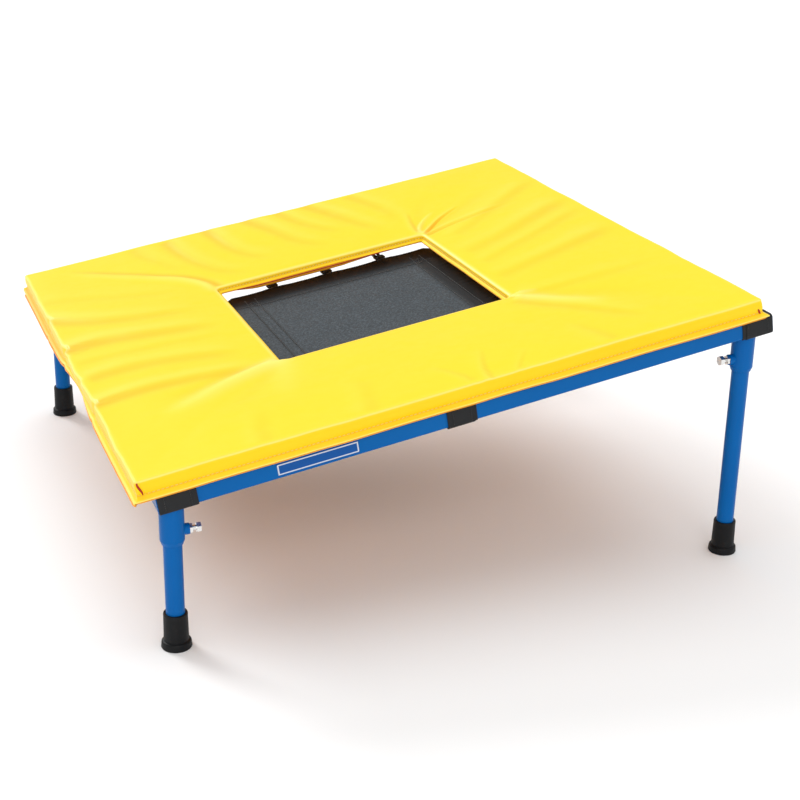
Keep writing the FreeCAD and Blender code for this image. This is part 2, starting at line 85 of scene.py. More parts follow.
def local_span(*names):
    points = (node_points(*names) - CORNER) @ AXES.T * 1000
    return points.min(0), points.max(0)


pad_lo, pad_hi = local_span("pad_cover")
bed_lo, bed_hi = local_span("bed_mat")
BED = bed_hi[0] - bed_lo[0]
BED_U, BED_V = (bed_lo[0] + bed_hi[0]) / 2, (bed_lo[1] + bed_hi[1]) / 2
BED_N = bed_hi[2]

# ---------------------------------------------------------------- mesh helpers


def mesh_object(name, points, faces, material, body="frame", smooth=True, local=True):
    mesh = bpy.data.meshes.new(name)
    mesh.from_pydata((place(points) if local else np.asarray(points)).tolist(), [], faces)
    mesh.polygons.foreach_set("use_smooth", [smooth] * len(mesh.polygons))
    mesh.update()
    obj = bpy.data.objects.new(name, mesh)
    bpy.context.collection.objects.link(obj)
    obj.data.materials.append(material)
    if body:
        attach(obj, body)
    return obj


def paint(obj, name, values):
    """Store one number per vertex under a name that a material reads."""
    made = obj.data.attributes.new(name, "FLOAT", "POINT")
    made.data.foreach_set("value", np.asarray(values).reshape(-1).astype(np.float32))


def slab_faces(index, under):
    """Faces of a thin slab: a grid of top vertices, the same grid below it, and the edge between them."""
    a, b, c, d = index[:-1, :-1], index[1:, :-1], index[1:, 1:], index[:-1, 1:]
    border = np.concatenate([index[:-1, 0], index[-1, :-1], index[:0:-1, -1], index[0, :0:-1]])
    after = np.roll(border, -1)
    top = np.stack([a, b, c, d], -1).reshape(-1, 4)
    low = np.stack([d, c, b, a], -1).reshape(-1, 4) + under
    edge = np.stack([border, border + under, after + under, after], -1)
    return top.tolist() + low.tolist() + edge.tolist()


def ring_faces(rows, columns, close_rows=True):
    """Quads of a grid that is closed along its columns and, if asked, along its rows."""
    i = np.arange(rows if close_rows else rows - 1)[:, None]
    j = np.arange(columns)[None, :]
    a = i * columns + j
    b = i * columns + (j + 1) % columns
    c = ((i + 1) % rows) * columns + (j + 1) % columns
    d = ((i + 1) % rows) * columns + j
    return np.stack([a, b, c, d], -1).reshape(-1, 4).tolist()


class Builder:
    """Collects pieces with points and faces into one mesh."""

    def __init__(self):
        self.points, self.faces, self.count = [], [], 0

    def add(self, points, faces):
        points = np.asarray(points, float)
        self.points.append(points)
        self.faces += [[self.count + k for k in f] for f in faces]
        self.count += len(points)

    def object(self, name, material, body="frame"):
        return mesh_object(name, np.concatenate(self.points), self.faces, material, body)


def smooth_step(x):
    x = np.clip(x, 0, 1)
    return x * x * (3 - 2 * x)


def sweep(path, profile, closed=False, up=(0, 0, 1)):
    """A closed profile (list of (side, height)) carried along a path; returns points and faces."""
    path = np.asarray(path, float)
    profile = np.asarray(profile, float)
    ahead = np.roll(path, -1, 0) - np.roll(path, 1, 0)
    if not closed:
        ahead[0], ahead[-1] = path[1] - path[0], path[-1] - path[-2]
    ahead /= np.linalg.norm(ahead, axis=1)[:, None]
    up = np.broadcast_to(np.asarray(up, float), path.shape)
    side = np.cross(ahead, up)
    side /= np.linalg.norm(side, axis=1)[:, None]
    top = np.cross(side, ahead)
    points = path[:, None] + side[:, None] * profile[None, :, :1] + top[:, None] * profile[None, :, 1:]
    rows, columns = len(path), len(profile)
    faces = ring_faces(rows, columns, closed)
    if not closed:
        faces.append(list(range(columns))[::-1])
        faces.append([(rows - 1) * columns + k for k in range(columns)])
    return points.reshape(-1, 3), faces


def circle(radius, count=12):
    angle = np.arange(count) * 2 * math.pi / count
    return np.stack([radius * np.cos(angle), radius * np.sin(angle)], 1)


def rounded_rectangle(wide, high, radius, steps=4):
    points = []
    for cx, cy, start in ((1, 1, 0), (-1, 1, 90), (-1, -1, 180), (1, -1, 270)):
        for k in range(steps + 1):
            angle = math.radians(start + 90 * k / steps)
            points.append((cx * (wide / 2 - radius) + radius * math.cos(angle),
                           cy * (high / 2 - radius) + radius * math.sin(angle)))
    return points


def stitches(builder, path, normal, length=5.0, gap=2.6, radius=0.55, closed=False, lift=0.25):
    """Short threads laid along a path, each one a little capsule that dips in at both ends."""
    path = np.asarray(path, float)
    normal = np.broadcast_to(np.asarray(normal, float), path.shape)
    if closed:
        path = np.concatenate([path, path[:1]])
        normal = np.concatenate([normal, normal[:1]])
    steps = np.linalg.norm(np.diff(path, axis=0), axis=1)
    run = np.concatenate([[0], np.cumsum(steps)])
    starts = np.arange(gap / 2, run[-1] - length, length + gap)
    along = np.array([-0.5, -0.32, 0.0, 0.32, 0.5])
    swell = np.array([0.35, 0.9, 1.0, 0.9, 0.35])
    dip = np.array([-0.7, 0.1, 0.3, 0.1, -0.7])
    for start in starts:
        at = start + length / 2 + along * length
        centre = np.stack([np.interp(at, run, path[:, k]) for k in range(3)], 1)
        out = np.stack([np.interp(at, run, normal[:, k]) for k in range(3)], 1)
        out /= np.linalg.norm(out, axis=1)[:, None]
        ahead = centre[-1] - centre[0]
        ahead = ahead / np.linalg.norm(ahead)
        side = np.cross(ahead, out)
        centre = centre + out * (lift + dip * radius)[:, None]
        angle = np.arange(6) * math.pi / 3
        ring = (side[:, None] * np.cos(angle)[None, :, None] + out[:, None] * np.sin(angle)[None, :, None])
        points = centre[:, None] + ring * (radius * swell)[:, None, None]
        faces = ring_faces(5, 6, False) + [list(range(6))[::-1], [24 + k for k in range(6)]]
        builder.add(points.reshape(-1, 3), faces)


# ---------------------------------------------------------------- materials


def srgb(r, g, b):
    def linear(c):
        c /= 255
        return c / 12.92 if c <= 0.04045 else ((c + 0.055) / 1.055) ** 2.4
    return (linear(r), linear(g), linear(b), 1)


class Shade:
    """A small wrapper round one material's node tree."""

    def __init__(self, name):
        self.material = bpy.data.materials.new(name)
        self.material.use_nodes = True
        self.tree = self.material.node_tree
        self.surface = self.tree.nodes["Principled BSDF"]
        self.coordinates = self.tree.nodes.new("ShaderNodeTexCoord").outputs["Object"]

    def node(self, kind, **values):
        made = self.tree.nodes.new(kind)
        for key, value in values.items():
            self.put(made.inputs[key], value)
        return made

    def put(self, socket, value):
        if isinstance(value, bpy.types.NodeSocket):
            self.tree.links.new(value, socket)
        else:
            socket.default_value = value

    def set(self, **values):
        for key, value in values.items():
            self.put(self.surface.inputs[key.replace("_", " ")], value)

    def maths(self, operation, a, b=0.0, c=None, clamp=False):
        made = self.tree.nodes.new("ShaderNodeMath")
        made.operation = operation
        made.use_clamp = clamp
        for socket, value in zip(made.inputs, (a, b, c)):
            if value is not None:
                self.put(socket, value)
        return made.outputs[0]

    def times(self, a, b, clamp=False):
        return self.maths("MULTIPLY", a, b, clamp=clamp)

    def scaled(self, value, factor, base):
        return self.maths("MULTIPLY_ADD", value, factor, base)

    def ramp(self, value, *stops):
        """A grey ramp between two stops, each a position and a level."""
        made = self.tree.nodes.new("ShaderNodeValToRGB")
        for element, (position, level) in zip(made.color_ramp.elements, stops):
            element.position = position
            element.color = (level, level, level, 1)
        self.put(made.inputs["Fac"], value)
        return made.outputs["Color"]

    def mix(self, factor, a, b):
        made = self.tree.nodes.new("ShaderNodeMix")
        made.data_type = "RGBA"
        self.put(made.inputs["Factor"], factor)
        self.put(made.inputs[6], a)
        self.put(made.inputs[7], b)
        return made.outputs[2]

    def noise(self, scale, detail=3.0, roughness=0.5, stretch=None):
        vector = self.coordinates
        if stretch:
            mapping = self.tree.nodes.new("ShaderNodeMapping")
            mapping.inputs["Scale"].default_value = stretch
            self.put(mapping.inputs["Vector"], vector)
            vector = mapping.outputs["Vector"]
        made = self.node("ShaderNodeTexNoise", Scale=scale, Detail=detail, Roughness=roughness)
        self.put(made.inputs["Vector"], vector)
        return made.outputs["Fac"]

    def bump(self, height, strength=0.3, distance=0.001, under=None):
        made = self.tree.nodes.new("ShaderNodeBump")
        made.inputs["Strength"].default_value = strength
        made.inputs["Distance"].default_value = distance
        self.put(made.inputs["Height"], height)
        if under is not None:
            self.put(made.inputs["Normal"], under)
        return made.outputs["Normal"]

    def attribute(self, name):
        made = self.tree.nodes.new("ShaderNodeAttribute")
        made.attribute_name = name
        return made.outputs["Fac"]


def weave_steps(shade, step):
    """How many threads a point lies along and across the tilted frame, as two sockets."""
    dots = []
    for axis in (ALONG, ACROSS):
        made = shade.tree.nodes.new("ShaderNodeVectorMath")
        made.operation = "DOT_PRODUCT"
        shade.put(made.inputs[0], shade.coordinates)
        made.inputs[1].default_value = tuple(axis * 1000 / step)
        dots.append(made.outputs["Value"])
    return dots


def vinyl():
    shade = Shade("yellow_vinyl")
    broad = shade.noise(3.0, 3)
    fine = shade.noise(45.0, 4)
    grain = shade.noise(900.0, 2)
    crease = shade.attribute("crease")
    tone = shade.mix(broad, srgb(255, 211, 0), srgb(255, 216, 3))
    tone = shade.mix(shade.times(fine, 0.25), tone, srgb(250, 202, 0))
    # painted shade: a deeper orange where the crease attribute marks the cover's folds and seams, and the same
    # deeper orange over the low side's far flange
    tone = shade.mix(shade.times(crease, 0.6, clamp=True), tone, srgb(244, 160, 0))
    # painted highlight: a paler yellow where the edge attribute marks the rim, the flange's edge, the inner lip
    # and the fold ridges
    tone = shade.mix(shade.times(shade.attribute("edge"), 0.75), tone, srgb(255, 240, 136))
    shade.set(Base_Color=tone, Roughness=shade.scaled(fine, 0.14, 0.36), Specular_IOR_Level=0.28,
              Coat_Weight=0.05, Coat_Roughness=0.28)
    shade.set(Normal=shade.bump(grain, 0.10, 0.0003, shade.bump(fine, 0.06, 0.002)))
    return shade.material


def two_tone(name, first, second, broad, fine, rough, grain, **more):
    """Two colours mixed by one noise, with roughness and grain from another."""
    shade = Shade(name)
    detail = shade.noise(*fine)
    shade.set(Base_Color=shade.mix(shade.noise(*broad), srgb(*first), srgb(*second)),
              Roughness=shade.scaled(detail, *rough), Normal=shade.bump(detail, *grain), **more)
    return shade.material


def thread(name, colour):
    shade = Shade(name)
    twist = shade.node("ShaderNodeTexWave", Scale=900.0, Distortion=1.0)
    shade.put(twist.inputs["Vector"], shade.coordinates)
    shade.set(Base_Color=shade.mix(twist.outputs["Fac"], colour, tuple(c * 0.75 for c in colour[:3]) + (1,)))
    shade.set(Roughness=shade.scaled(twist.outputs["Fac"], 0.15, 0.5), Sheen_Weight=0.3)
    shade.set(Normal=shade.bump(twist.outputs["Fac"], 0.3, 0.0002))
    return shade.material


def enamel():
    shade = Shade("blue_enamel")
    broad = shade.noise(7.0, 3)
    peel = shade.noise(260.0, 2)
    specks = shade.ramp(shade.noise(90.0, 5, 0.7), (0.60, 0.0), (0.72, 1.0))
    tone = shade.mix(broad, srgb(0, 100, 174), srgb(0, 90, 162))
    tone = shade.mix(shade.times(specks, 0.10), tone, srgb(2, 60, 130))
    shade.set(Base_Color=tone, Roughness=shade.scaled(specks, 0.08, 0.3), Specular_IOR_Level=0.09,
              Coat_Weight=0.04, Coat_Roughness=0.14)
    shade.set(Normal=shade.bump(peel, 0.06, 0.0005))
    return shade.material


def rubber(name, colour=(9, 10, 12), rough=0.5):
    shade = Shade(name)
    broad = shade.noise(14.0, 4)
    fine = shade.noise(520.0, 2)
    dust = shade.ramp(shade.noise(60.0, 5, 0.7), (0.52, 0.0), (0.75, 1.0))
    tone = shade.mix(broad, srgb(*colour), srgb(*[c + 8 for c in colour]))
    tone = shade.mix(shade.times(dust, 0.12), tone, srgb(70, 70, 72))
    shade.set(Base_Color=tone, Specular_IOR_Level=0.2)
    shade.set(Roughness=shade.scaled(broad, 0.2, rough - 0.1))
    shade.set(Normal=shade.bump(fine, 0.15, 0.0003))
    return shade.material


def webbing():
    """Black woven band: ribs from the webbing's own pattern attribute."""
    shade = Shade("black_webbing")
    rib = shade.attribute("rib")
    wave = shade.maths("SINE", shade.times(rib, 2 * math.pi / 1.6))
    cross = shade.maths("SINE", shade.times(shade.attribute("rib_across"), 2 * math.pi / 2.2))
    weave = shade.scaled(shade.times(wave, cross), 0.5, 0.5)
    broad = shade.noise(30.0, 4)
    tone = shade.mix(weave, srgb(9, 10, 12), srgb(26, 28, 31))
    shade.set(Base_Color=shade.mix(shade.times(broad, 0.25), tone, srgb(38, 40, 42)))
    shade.set(Roughness=shade.scaled(weave, 0.12, 0.58), Specular_IOR_Level=0.35)
    shade.set(Normal=shade.bump(weave, 0.5, 0.0006))
    return shade.material


def bed_weave():
    shade = Shade("bed_weave")
    along, across = weave_steps(shade, 2.4)
    warp = shade.maths("SINE", shade.times(along, 2 * math.pi))
    weft = shade.maths("SINE", shade.times(across, 2 * math.pi))
    weave = shade.scaled(shade.times(warp, weft), 0.5, 0.5)
    fleck = shade.noise(230.0, 4, 0.75)
    broad = shade.noise(5.0, 3)
    tone = shade.mix(weave, srgb(26, 30, 33), srgb(64, 71, 76))
    tone = shade.mix(shade.ramp(fleck, (0.44, 0.0), (0.62, 0.9)), tone, srgb(88, 97, 104))
    tone = shade.mix(shade.times(broad, 0.4), tone, srgb(34, 39, 43))
    # painted shade: near black where the hem attribute is high, along the bed's back and high side, its sewn
    # lines and its underside
    tone = shade.mix(shade.attribute("hem"), tone, srgb(5, 4, 4))
    shade.set(Base_Color=tone, Specular_IOR_Level=0.2)
    shade.set(Roughness=shade.scaled(fleck, 0.2, 0.5))
    shade.set(Normal=shade.bump(weave, 0.35, 0.0005, shade.bump(fleck, 0.25, 0.0005)))
    return shade.material


def cord_rubber():
    shade = Shade("black_cord")
    braid = shade.node("ShaderNodeTexWave", Scale=260.0, Distortion=2.0)
    shade.put(braid.inputs["Vector"], shade.coordinates)
    fine = shade.noise(700.0, 2)
    shade.set(Base_Color=shade.mix(braid.outputs["Fac"], srgb(26, 27, 29), srgb(48, 49, 52)))
    shade.set(Roughness=shade.scaled(fine, 0.2, 0.45))
    shade.set(Normal=shade.bump(braid.outputs["Fac"], 0.3, 0.0005))
    return shade.material


def plate_film():
    shade = Shade("label_plate")
    fine = shade.noise(80.0, 4)
    edge = shade.attribute("border")
    tone = shade.mix(edge, srgb(0, 80, 156), srgb(240, 244, 248))
    shade.set(Base_Color=shade.mix(shade.times(fine, 0.12), tone, srgb(20, 70, 140)))
    shade.set(Roughness=shade.scaled(fine, 0.15, 0.34), Coat_Weight=0.05, Specular_IOR_Level=0.18)
    shade.set(Normal=shade.bump(fine, 0.05, 0.0005))
    return shade.material


VINYL = vinyl()
# the underside sheet and its hanging edge: the yellow vinyl painted a deeper orange, as painted shade
SHADED_UNDER = two_tone("vinyl_under_shaded", (244, 164, 10), (234, 146, 6), (6.0, 3), (300.0, 3),
                 (0.2, 0.5), (0.2, 0.0004))
ENAMEL = enamel()
BOOT = rubber("black_rubber")
ZINC = two_tone("zinc_steel", (238, 238, 236), (212, 212, 210), (60.0, 4), (400.0, 3, 0.6, (1.0, 1.0, 6.0)),
                (0.22, 0.16), (0.12, 0.0002), Metallic=1.0)
WIRE = rubber("black_wire", (14, 14, 15), 0.42)
WEBBING = webbing()
WEAVE = bed_weave()
CORD = cord_rubber()
PLATE = plate_film()
# red: painted shade in the opened corner seams, and the colour of the underside's seam
RED_SHADE_AND_SEAM = two_tone("red_shade_and_seam", (196, 34, 10), (150, 22, 8), (300.0, 3), (300.0, 3),
                  (0.2, 0.5), (0.2, 0.0004))
YELLOW_THREAD = thread("yellow_thread", srgb(255, 232, 120))
BLACK_THREAD = thread("black_thread", srgb(5, 5, 6))

# ---------------------------------------------------------------- pad cover

OUTER = (pad_lo[0], pad_hi[0], pad_lo[1], pad_hi[1])
LIP = 10.5
WALL = (OUTER[0] + LIP, OUTER[1] - LIP, OUTER[2] + LIP, OUTER[3] - LIP)
PAD_TOP = pad_hi[2]
hole_u = ((WALL[0] + WALL[1]) / 2 - (BED / 2 - 20), (WALL[0] + WALL[1]) / 2 + (BED / 2 - 20))
hole_v = (BED_V - (BED / 2 - 25), BED_V + (BED / 2 - 25))
HOLE = (hole_u[0] + 3, hole_u[1] + 11, hole_v[0], hole_v[1] + 6)
SIDE_COLUMNS = 280
even = np.arange(SIDE_COLUMNS) / SIDE_COLUMNS
FRACTION = even - 0.7 * np.sin(2 * math.pi * even) / (2 * math.pi)    # closer together towards the corners


def loop(rectangle, grow, radius):
    """Closed outline: the rectangle grown on every side, with round corners. Starts at low front."""
    u0, u1, v0, v1 = rectangle
    half = np.array([(u1 - u0) / 2 + grow, (v1 - v0) / 2 + grow])
    centre = np.array([(u0 + u1) / 2, (v0 + v1) / 2])
    corners = np.array([(-1, -1), (1, -1), (1, 1), (-1, 1)]) * half
    points = []
    for k in range(4):
        a, b = corners[k], corners[(k + 1) % 4]
        points.append(a + FRACTION[:, None] * (b - a))
    points = np.concatenate(points)
    radius = max(radius, 0.2)
    local = (np.abs(points) - (half - radius)) / radius
    near = (local[:, 0] > 0) & (local[:, 1] > 0)
    x, y = local[near, 0], local[near, 1]
    arc = np.stack([x * np.sqrt(1 - y * y / 2), y * np.sqrt(1 - x * x / 2)], 1)
    points[near] = np.sign(points[near]) * (half - radius + arc * radius)
    return points + centre


def bell(x, middle, wide):
    """1 at the middle, falling off smoothly to both sides."""
    return np.exp(-((x - middle) / wide) ** 2)


def lerp(a, b, t):
    return a + (b - a) * t


def between(first, last, t):
    """A rectangle part of the way from one to another."""
    return tuple(lerp(a, b, t) for a, b in zip(first, last))


def grown(rectangle, by):
    return rectangle[0] - by, rectangle[1] + by, rectangle[2] - by, rectangle[3] + by


rows = []          # (outline, height, kind) from the outer flange over the top to the inner lip
OUTER_R, HOLE_R = 4.0, 12.0     # corner radii in plan
RIM = 4.5                       # roundness of the top's outer edge
OUTER_SEAM, INNER_SEAM = 49.0, 50.6
for grow, height in ((9.9, 39.6), (10.7, 40.2), (10.9, 41.0), (10.2, 41.7), (8.2, 42.2), (5.8, 43.2),
                     (3.6, 44.8), (2.2, 46.4), (1.3, 47.9), (0.9, 49.0), (1.0, 50.2), (1.5, 52.5), (2.1, 56.5),
                     (2.3, 60.5), (2.0, 64.5), (1.5, 68.5), (1.0, 71.2)):
    rows.append((loop(WALL, grow, 2.5 + OUTER_R * smooth_step((height - 44) / 20)), height, "wall"))
for k in range(1, 7):
    angle = math.radians(90 * k / 6)
    rows.append((loop(WALL, 0.8 - RIM * (1 - math.cos(angle)), OUTER_R),
                 PAD_TOP - RIM + RIM * math.sin(angle), "rim"))
INNER_GROW = 7.0      # how far outside the opening its lip starts to turn down
TURN_IN = 24.0        # how far the lips reach back under the pad
TOP_ROWS = 74
for k in range(1, TOP_ROWS):
    t = k / TOP_ROWS
    box = between(grown(WALL, -3.7), grown(HOLE, INNER_GROW), t)
    height = PAD_TOP - 17.0 * (0.30 * t + 0.70 * t * t) + 1.2 * math.sin(math.pi * t)
    rows.append((loop(box, 0, lerp(OUTER_R, HOLE_R + INNER_GROW, t)), height, "top"))
for grow, height in ((7.0, 59.0), (4.6, 58.2), (2.6, 56.9), (1.2, 55.2), (0.5, 53.4), (0.3, 51.8), (0.7, 50.6),
                     (0.2, 49.4), (-0.4, 48.0), (-1.6, 46.9), (-3.4, 46.2), (-5.4, 45.9), (-6.3, 45.5),
                     (-6.5, 44.9), (-6.0, 44.3), (-3.0, 44.0), (3.0, 43.0), (12.0, 41.8), (24.0, 40.8)):
    rows.append((loop(HOLE, grow, HOLE_R + grow), height, "inner"))
for t in (0.15, 0.4, 0.7, 0.95):
    box = between(grown(HOLE, TURN_IN), WALL, t)
    rows.append((loop(box, 0, 14), 39.7, "under"))

outline = np.stack([r[0] for r in rows])
height = np.repeat(np.array([r[1] for r in rows])[:, None], outline.shape[1], 1)
kind = np.array([r[2] for r in rows])
U0, V0 = outline[..., 0].copy(), outline[..., 1].copy()


def inside_cell(grid, i, j, a, b):
    """The value of a grid part of the way across one of its cells."""
    wide, deep = grid.shape
    g = lambda p, q: grid[p % wide, q % deep]
    return (g(i, j) * (1 - a) * (1 - b) + g(i + 1, j) * a * (1 - b)
            + g(i, j + 1) * (1 - a) * b + g(i + 1, j + 1) * a * b)


def lattice_noise(u, v, step, seed):
    """Smooth random field from -1 to 1 on a square lattice of the given step."""
    grid = np.random.RandomState(seed).uniform(-1, 1, (64, 64))
    x, y = u / step + 20, v / step + 20
    i, j = np.floor(x).astype(int), np.floor(y).astype(int)
    return inside_cell(grid, i, j, smooth_step(x - i), smooth_step(y - j))


def along_path(u, v, path):
    """Signed distance from a polyline, and how far along it the nearest point is, from 0 to 1."""
    path = np.asarray(path, float)
    # its corners are cut twice, which rounds them
    for _ in range(2):
        a, b = path[:-1], path[1:]
        cuts = np.stack([a * 0.75 + b * 0.25, a * 0.25 + b * 0.75], 1).reshape(-1, 2)
        path = np.concatenate([[path[0]], cuts, [path[-1]]])
    lengths = np.linalg.norm(np.diff(path, axis=0), axis=1)
    run = np.concatenate([[0], np.cumsum(lengths)])
    best = np.full(u.shape, 1e9)
    sign = np.zeros(u.shape)
    where = np.zeros(u.shape)
    for k in range(len(path) - 1):
        a, d = path[k], path[k + 1] - path[k]
        if lengths[k] < 1e-6:
            continue
        t = np.clip(((u - a[0]) * d[0] + (v - a[1]) * d[1]) / lengths[k] ** 2, 0, 1)
        du, dv = u - a[0] - t * d[0], v - a[1] - t * d[1]
        gap = np.hypot(du, dv)
        closer = gap < best
        best = np.where(closer, gap, best)
        sign = np.where(closer, np.sign(d[0] * dv - d[1] * du), sign)
        where = np.where(closer, (run[k] + t * lengths[k]) / run[-1], where)
    return best * sign, where


# Folds of the cover: path in u, v; half width; height; shape; strength at the start and at the end.
FOLDS = [
    # the crease that curves from the opening's back low corner towards the pad's far low corner
    ([(348, 872), (340, 912), (300, 972), (240, 1024), (150, 1105), (50, 1200)], 26, 6.0, "crease", 1.0, 0.3),
    ([(345, 876), (330, 930), (282, 990), (215, 1045)], 9, 2.4, "ridge", 1.0, 0.2),
    # low panel: broad billows from the outer edge towards the opening
    ([(-26, 1040), (60, 1010), (170, 950), (300, 915)], 44, 2.4, "crease", 0.5, 0.3),
    ([(-26, 912), (34, 862), (121, 812), (300, 778)], 46, 4.4, "crease", 1.0, 0.25),
    ([(-24, 712), (48, 722), (150, 692), (320, 664)], 48, 5.2, "crease", 1.0, 0.35),
    ([(-24, 622), (60, 618), (170, 610), (320, 596)], 36, 2.0, "crease", 0.7, 0.4),
    ([(-26, 524), (46, 538), (151, 530), (320, 480)], 46, 4.0, "crease", 0.9, 0.5),
    ([(-28, 388), (40, 402), (141, 405), (250, 392), (335, 378)], 40, 4.8, "crease", 1.0, 0.5),
    # short sharp creases where those billows meet the edge
    ([(-26, 905), (0, 890), (30, 872)], 7, 2.6, "crease", 1.0, 0.1),
    ([(-26, 704), (6, 712), (60, 712)], 8, 3.6, "crease", 1.0, 0.1),
    ([(-26, 690), (0, 684), (40, 672)], 6, 2.4, "crease", 1.0, 0.1),
    ([(-26, 660), (4, 668), (24, 690)], 6, 2.2, "crease", 0.9, 0.1),
    ([(-26, 384), (8, 392), (60, 398)], 7, 3.0, "crease", 1.0, 0.1),
    ([(-26, 372), (6, 372), (34, 364)], 6, 1.8, "crease", 0.9, 0.1),
    # the broad ray and its neighbours that leave the opening's front low corner
    ([(346, 376), (300, 352), (238, 322), (143, 262), (70, 230)], 26, 17.0, "ridge", 1.0, 0.2),
    ([(344, 388), (260, 366), (170, 322), (90, 300)], 24, -7.0, "ridge", 1.0, 0.2),
    ([(350, 372), (310, 310), (250, 240), (190, 180)], 24, -3.4, "ridge", 0.9, 0.1),
    ([(352, 374), (345, 310), (320, 230), (300, 160)], 26, 3.4, "ridge", 0.8, 0.1),
    # back panel: fan of folds from the outer edge
    ([(250, 1250), (262, 1180), (300, 1090), (340, 1010)], 32, 2.8, "crease", 0.7, 0.2),
    ([(334, 1250), (340, 1150), (362, 1050), (407, 960), (480, 925)], 32, 4.8, "crease", 0.9, 0.2),
    ([(440, 1250), (453, 1110), (480, 1028), (540, 960)], 32, 4.9, "crease", 1.0, 0.2),
    ([(545, 1250), (580, 1140), (610, 1030), (680, 950)], 34, 4.4, "crease", 1.0, 0.2),
    ([(630, 1250), (641, 1190), (665, 1110), (730, 1000)], 30, 3.8, "crease", 1.0, 0.2),
    ([(705, 1250), (736, 1162), (775, 1040), (815, 950)], 34, 4.2, "crease", 1.0, 0.3),
    ([(815, 1250), (845, 1150), (862, 1070), (866, 960)], 32, 3.6, "crease", 0.9, 0.2),
    # gathers at the opening's back high corner
    ([(862, 884), (868, 915), (898, 955), (944, 992)], 6.0, 9.0, "ridge", 1.0, 0.1),
    ([(868, 880), (892, 905), (935, 945), (1010, 990)], 8, 7.0, "crease", 1.0, 0.15),
    ([(872, 874), (910, 880), (1000, 888), (1100, 905)], 14, 5.0, "crease", 1.0, 0.2),
    ([(856, 888), (856, 920), (866, 975), (880, 1030)], 11, 4.6, "crease", 1.0, 0.2),
    ([(876, 884), (940, 925), (1020, 975), (1140, 1050)], 28, -4.6, "ridge", 1.0, 0.1),
    ([(866, 890), (880, 950), (920, 1030), (980, 1130)], 20, -3.4, "ridge", 0.9, 0.1),
    # gathers and the soft triangular swelling at the opening's front high corner
    ([(864, 374), (888, 371), (922, 362)], 6.5, 14.0, "ridge", 1.0, 0.1),
    ([(862, 366), (898, 332), (938, 268), (1012, 184)], 20, 7.5, "ridge", 0.9, 0.2),
    ([(866, 358), (905, 292), (962, 200), (1038, 68)], 34, 4.4, "crease", 0.6, 0.3),
    ([(872, 380), (960, 362), (1080, 345), (1190, 340)], 36, 2.8, "crease", 0.6, 0.3),
    ([(868, 352), (940, 306), (1020, 250), (1110, 160)], 34, -4.4, "ridge", 0.9, 0.1),
    ([(862, 372), (880, 350), (890, 318)], 7, 3.0, "crease", 1.0, 0.1),
    # high panel: long slack waves across it
    ([(880, 520), (980, 530), (1100, 560), (1220, 600)], 46, 3.8, "crease", 0.4, 0.8),
    ([(884, 610), (1000, 650), (1110, 700), (1222, 765)], 38, 3.0, "crease", 0.4, 0.7),
    ([(880, 700), (990, 730), (1110, 790), (1220, 850)], 50, 4.2, "crease", 0.3, 0.8),
    ([(900, 815), (1000, 875), (1110, 955), (1220, 1035)], 42, 3.4, "crease", 0.4, 0.7),
    # front panel: small kinks that reach the front edge
    ([(646, 6), (654, 60), (690, 150)], 11, 3.4, "crease", 1.0, 0.1),
    ([(612, 6), (600, 60), (560, 130)], 14, 2.4, "crease", 0.8, 0.1),
    ([(704, 6), (724, 40), (760, 90)], 9, 2.4, "crease", 0.9, 0.1),
    ([(400, 6), (420, 80), (430, 180)], 32, 2.0, "crease", 0.7, 0.2),
    ([(900, 6), (890, 60), (870, 140)], 28, 2.2, "crease", 0.7, 0.2),
    ([(200, 6), (210, 90), (240, 160)], 32, 2.2, "crease", 0.7, 0.2),
]
lift = np.zeros(U0.shape)
# painted shade and painted highlight of the cover's folds, for its colour attributes
fold_shade = np.zeros(U0.shape)
fold_highlight = np.zeros(U0.shape)
SHARP = 0.85
FOLD_STRENGTH = 0.6
for path, width, tall, shape, start, end in FOLDS:
    gap, where = along_path(U0, V0, path)
    q = gap / (width * SHARP)
    fade = (lerp(start, end, where) * smooth_step(where / 0.06) if start < 1 else lerp(start, end, where))
    fade = fade * smooth_step((1 - where) / 0.25)
    if shape == "ridge":
        rise = np.exp(-q * q)
    else:
        # steep on one side and long on the other, as when cloth rolls over itself
        rise = np.exp(-(q * np.where(q > 0, 0.8, 2.1)) ** 2) - 0.75 * np.exp(-((q + 0.75) * 1.5) ** 2)
    lift += FOLD_STRENGTH * tall * rise * fade
    # painted highlight on raised ridges and on each crease's long slope; painted shade in the creases and in
    # sunken ridges
    if shape == "ridge" and tall > 0:
        fold_highlight += min(0.09 * tall, 0.8) * np.exp(-(q * 0.9) ** 2) * fade
    elif shape == "crease":
        fold_shade += 0.16 * tall * np.exp(-((q + 0.6) * 1.9) ** 2) * fade
        fold_highlight += 0.05 * tall * np.exp(-((q - 0.35) * 1.8) ** 2) * fade
    else:
        fold_shade += 0.06 * -tall * np.exp(-(q * 1.2) ** 2) * fade

is_top, is_rim, is_wall, is_inner = [(kind == name)[:, None] for name in ("top", "rim", "wall", "inner")]

lift += (1.5 * lattice_noise(U0, V0, 170, 3) + 0.7 * lattice_noise(U0, V0, 70, 4)
         + 0.25 * lattice_noise(U0, V0, 28, 5))
edge_gap = np.minimum.reduce([U0 - WALL[0], WALL[1] - U0, V0 - WALL[2], WALL[3] - V0])
rim_hold = 1 - 0.8 * np.exp(-np.maximum(edge_gap, 0) / 24)
hole_gap = np.hypot(np.maximum.reduce([HOLE[0] - U0, U0 - HOLE[1], 0 * U0]),
                    np.maximum.reduce([HOLE[2] - V0, V0 - HOLE[3], 0 * V0]))
hole_hold = smooth_step(hole_gap / 26)
top_lift = lift * rim_hold * (0.25 + 0.75 * hole_hold)
points = np.stack([U0, V0, height], -1)
points[..., 2] += np.where(is_top | is_rim, top_lift, 0)

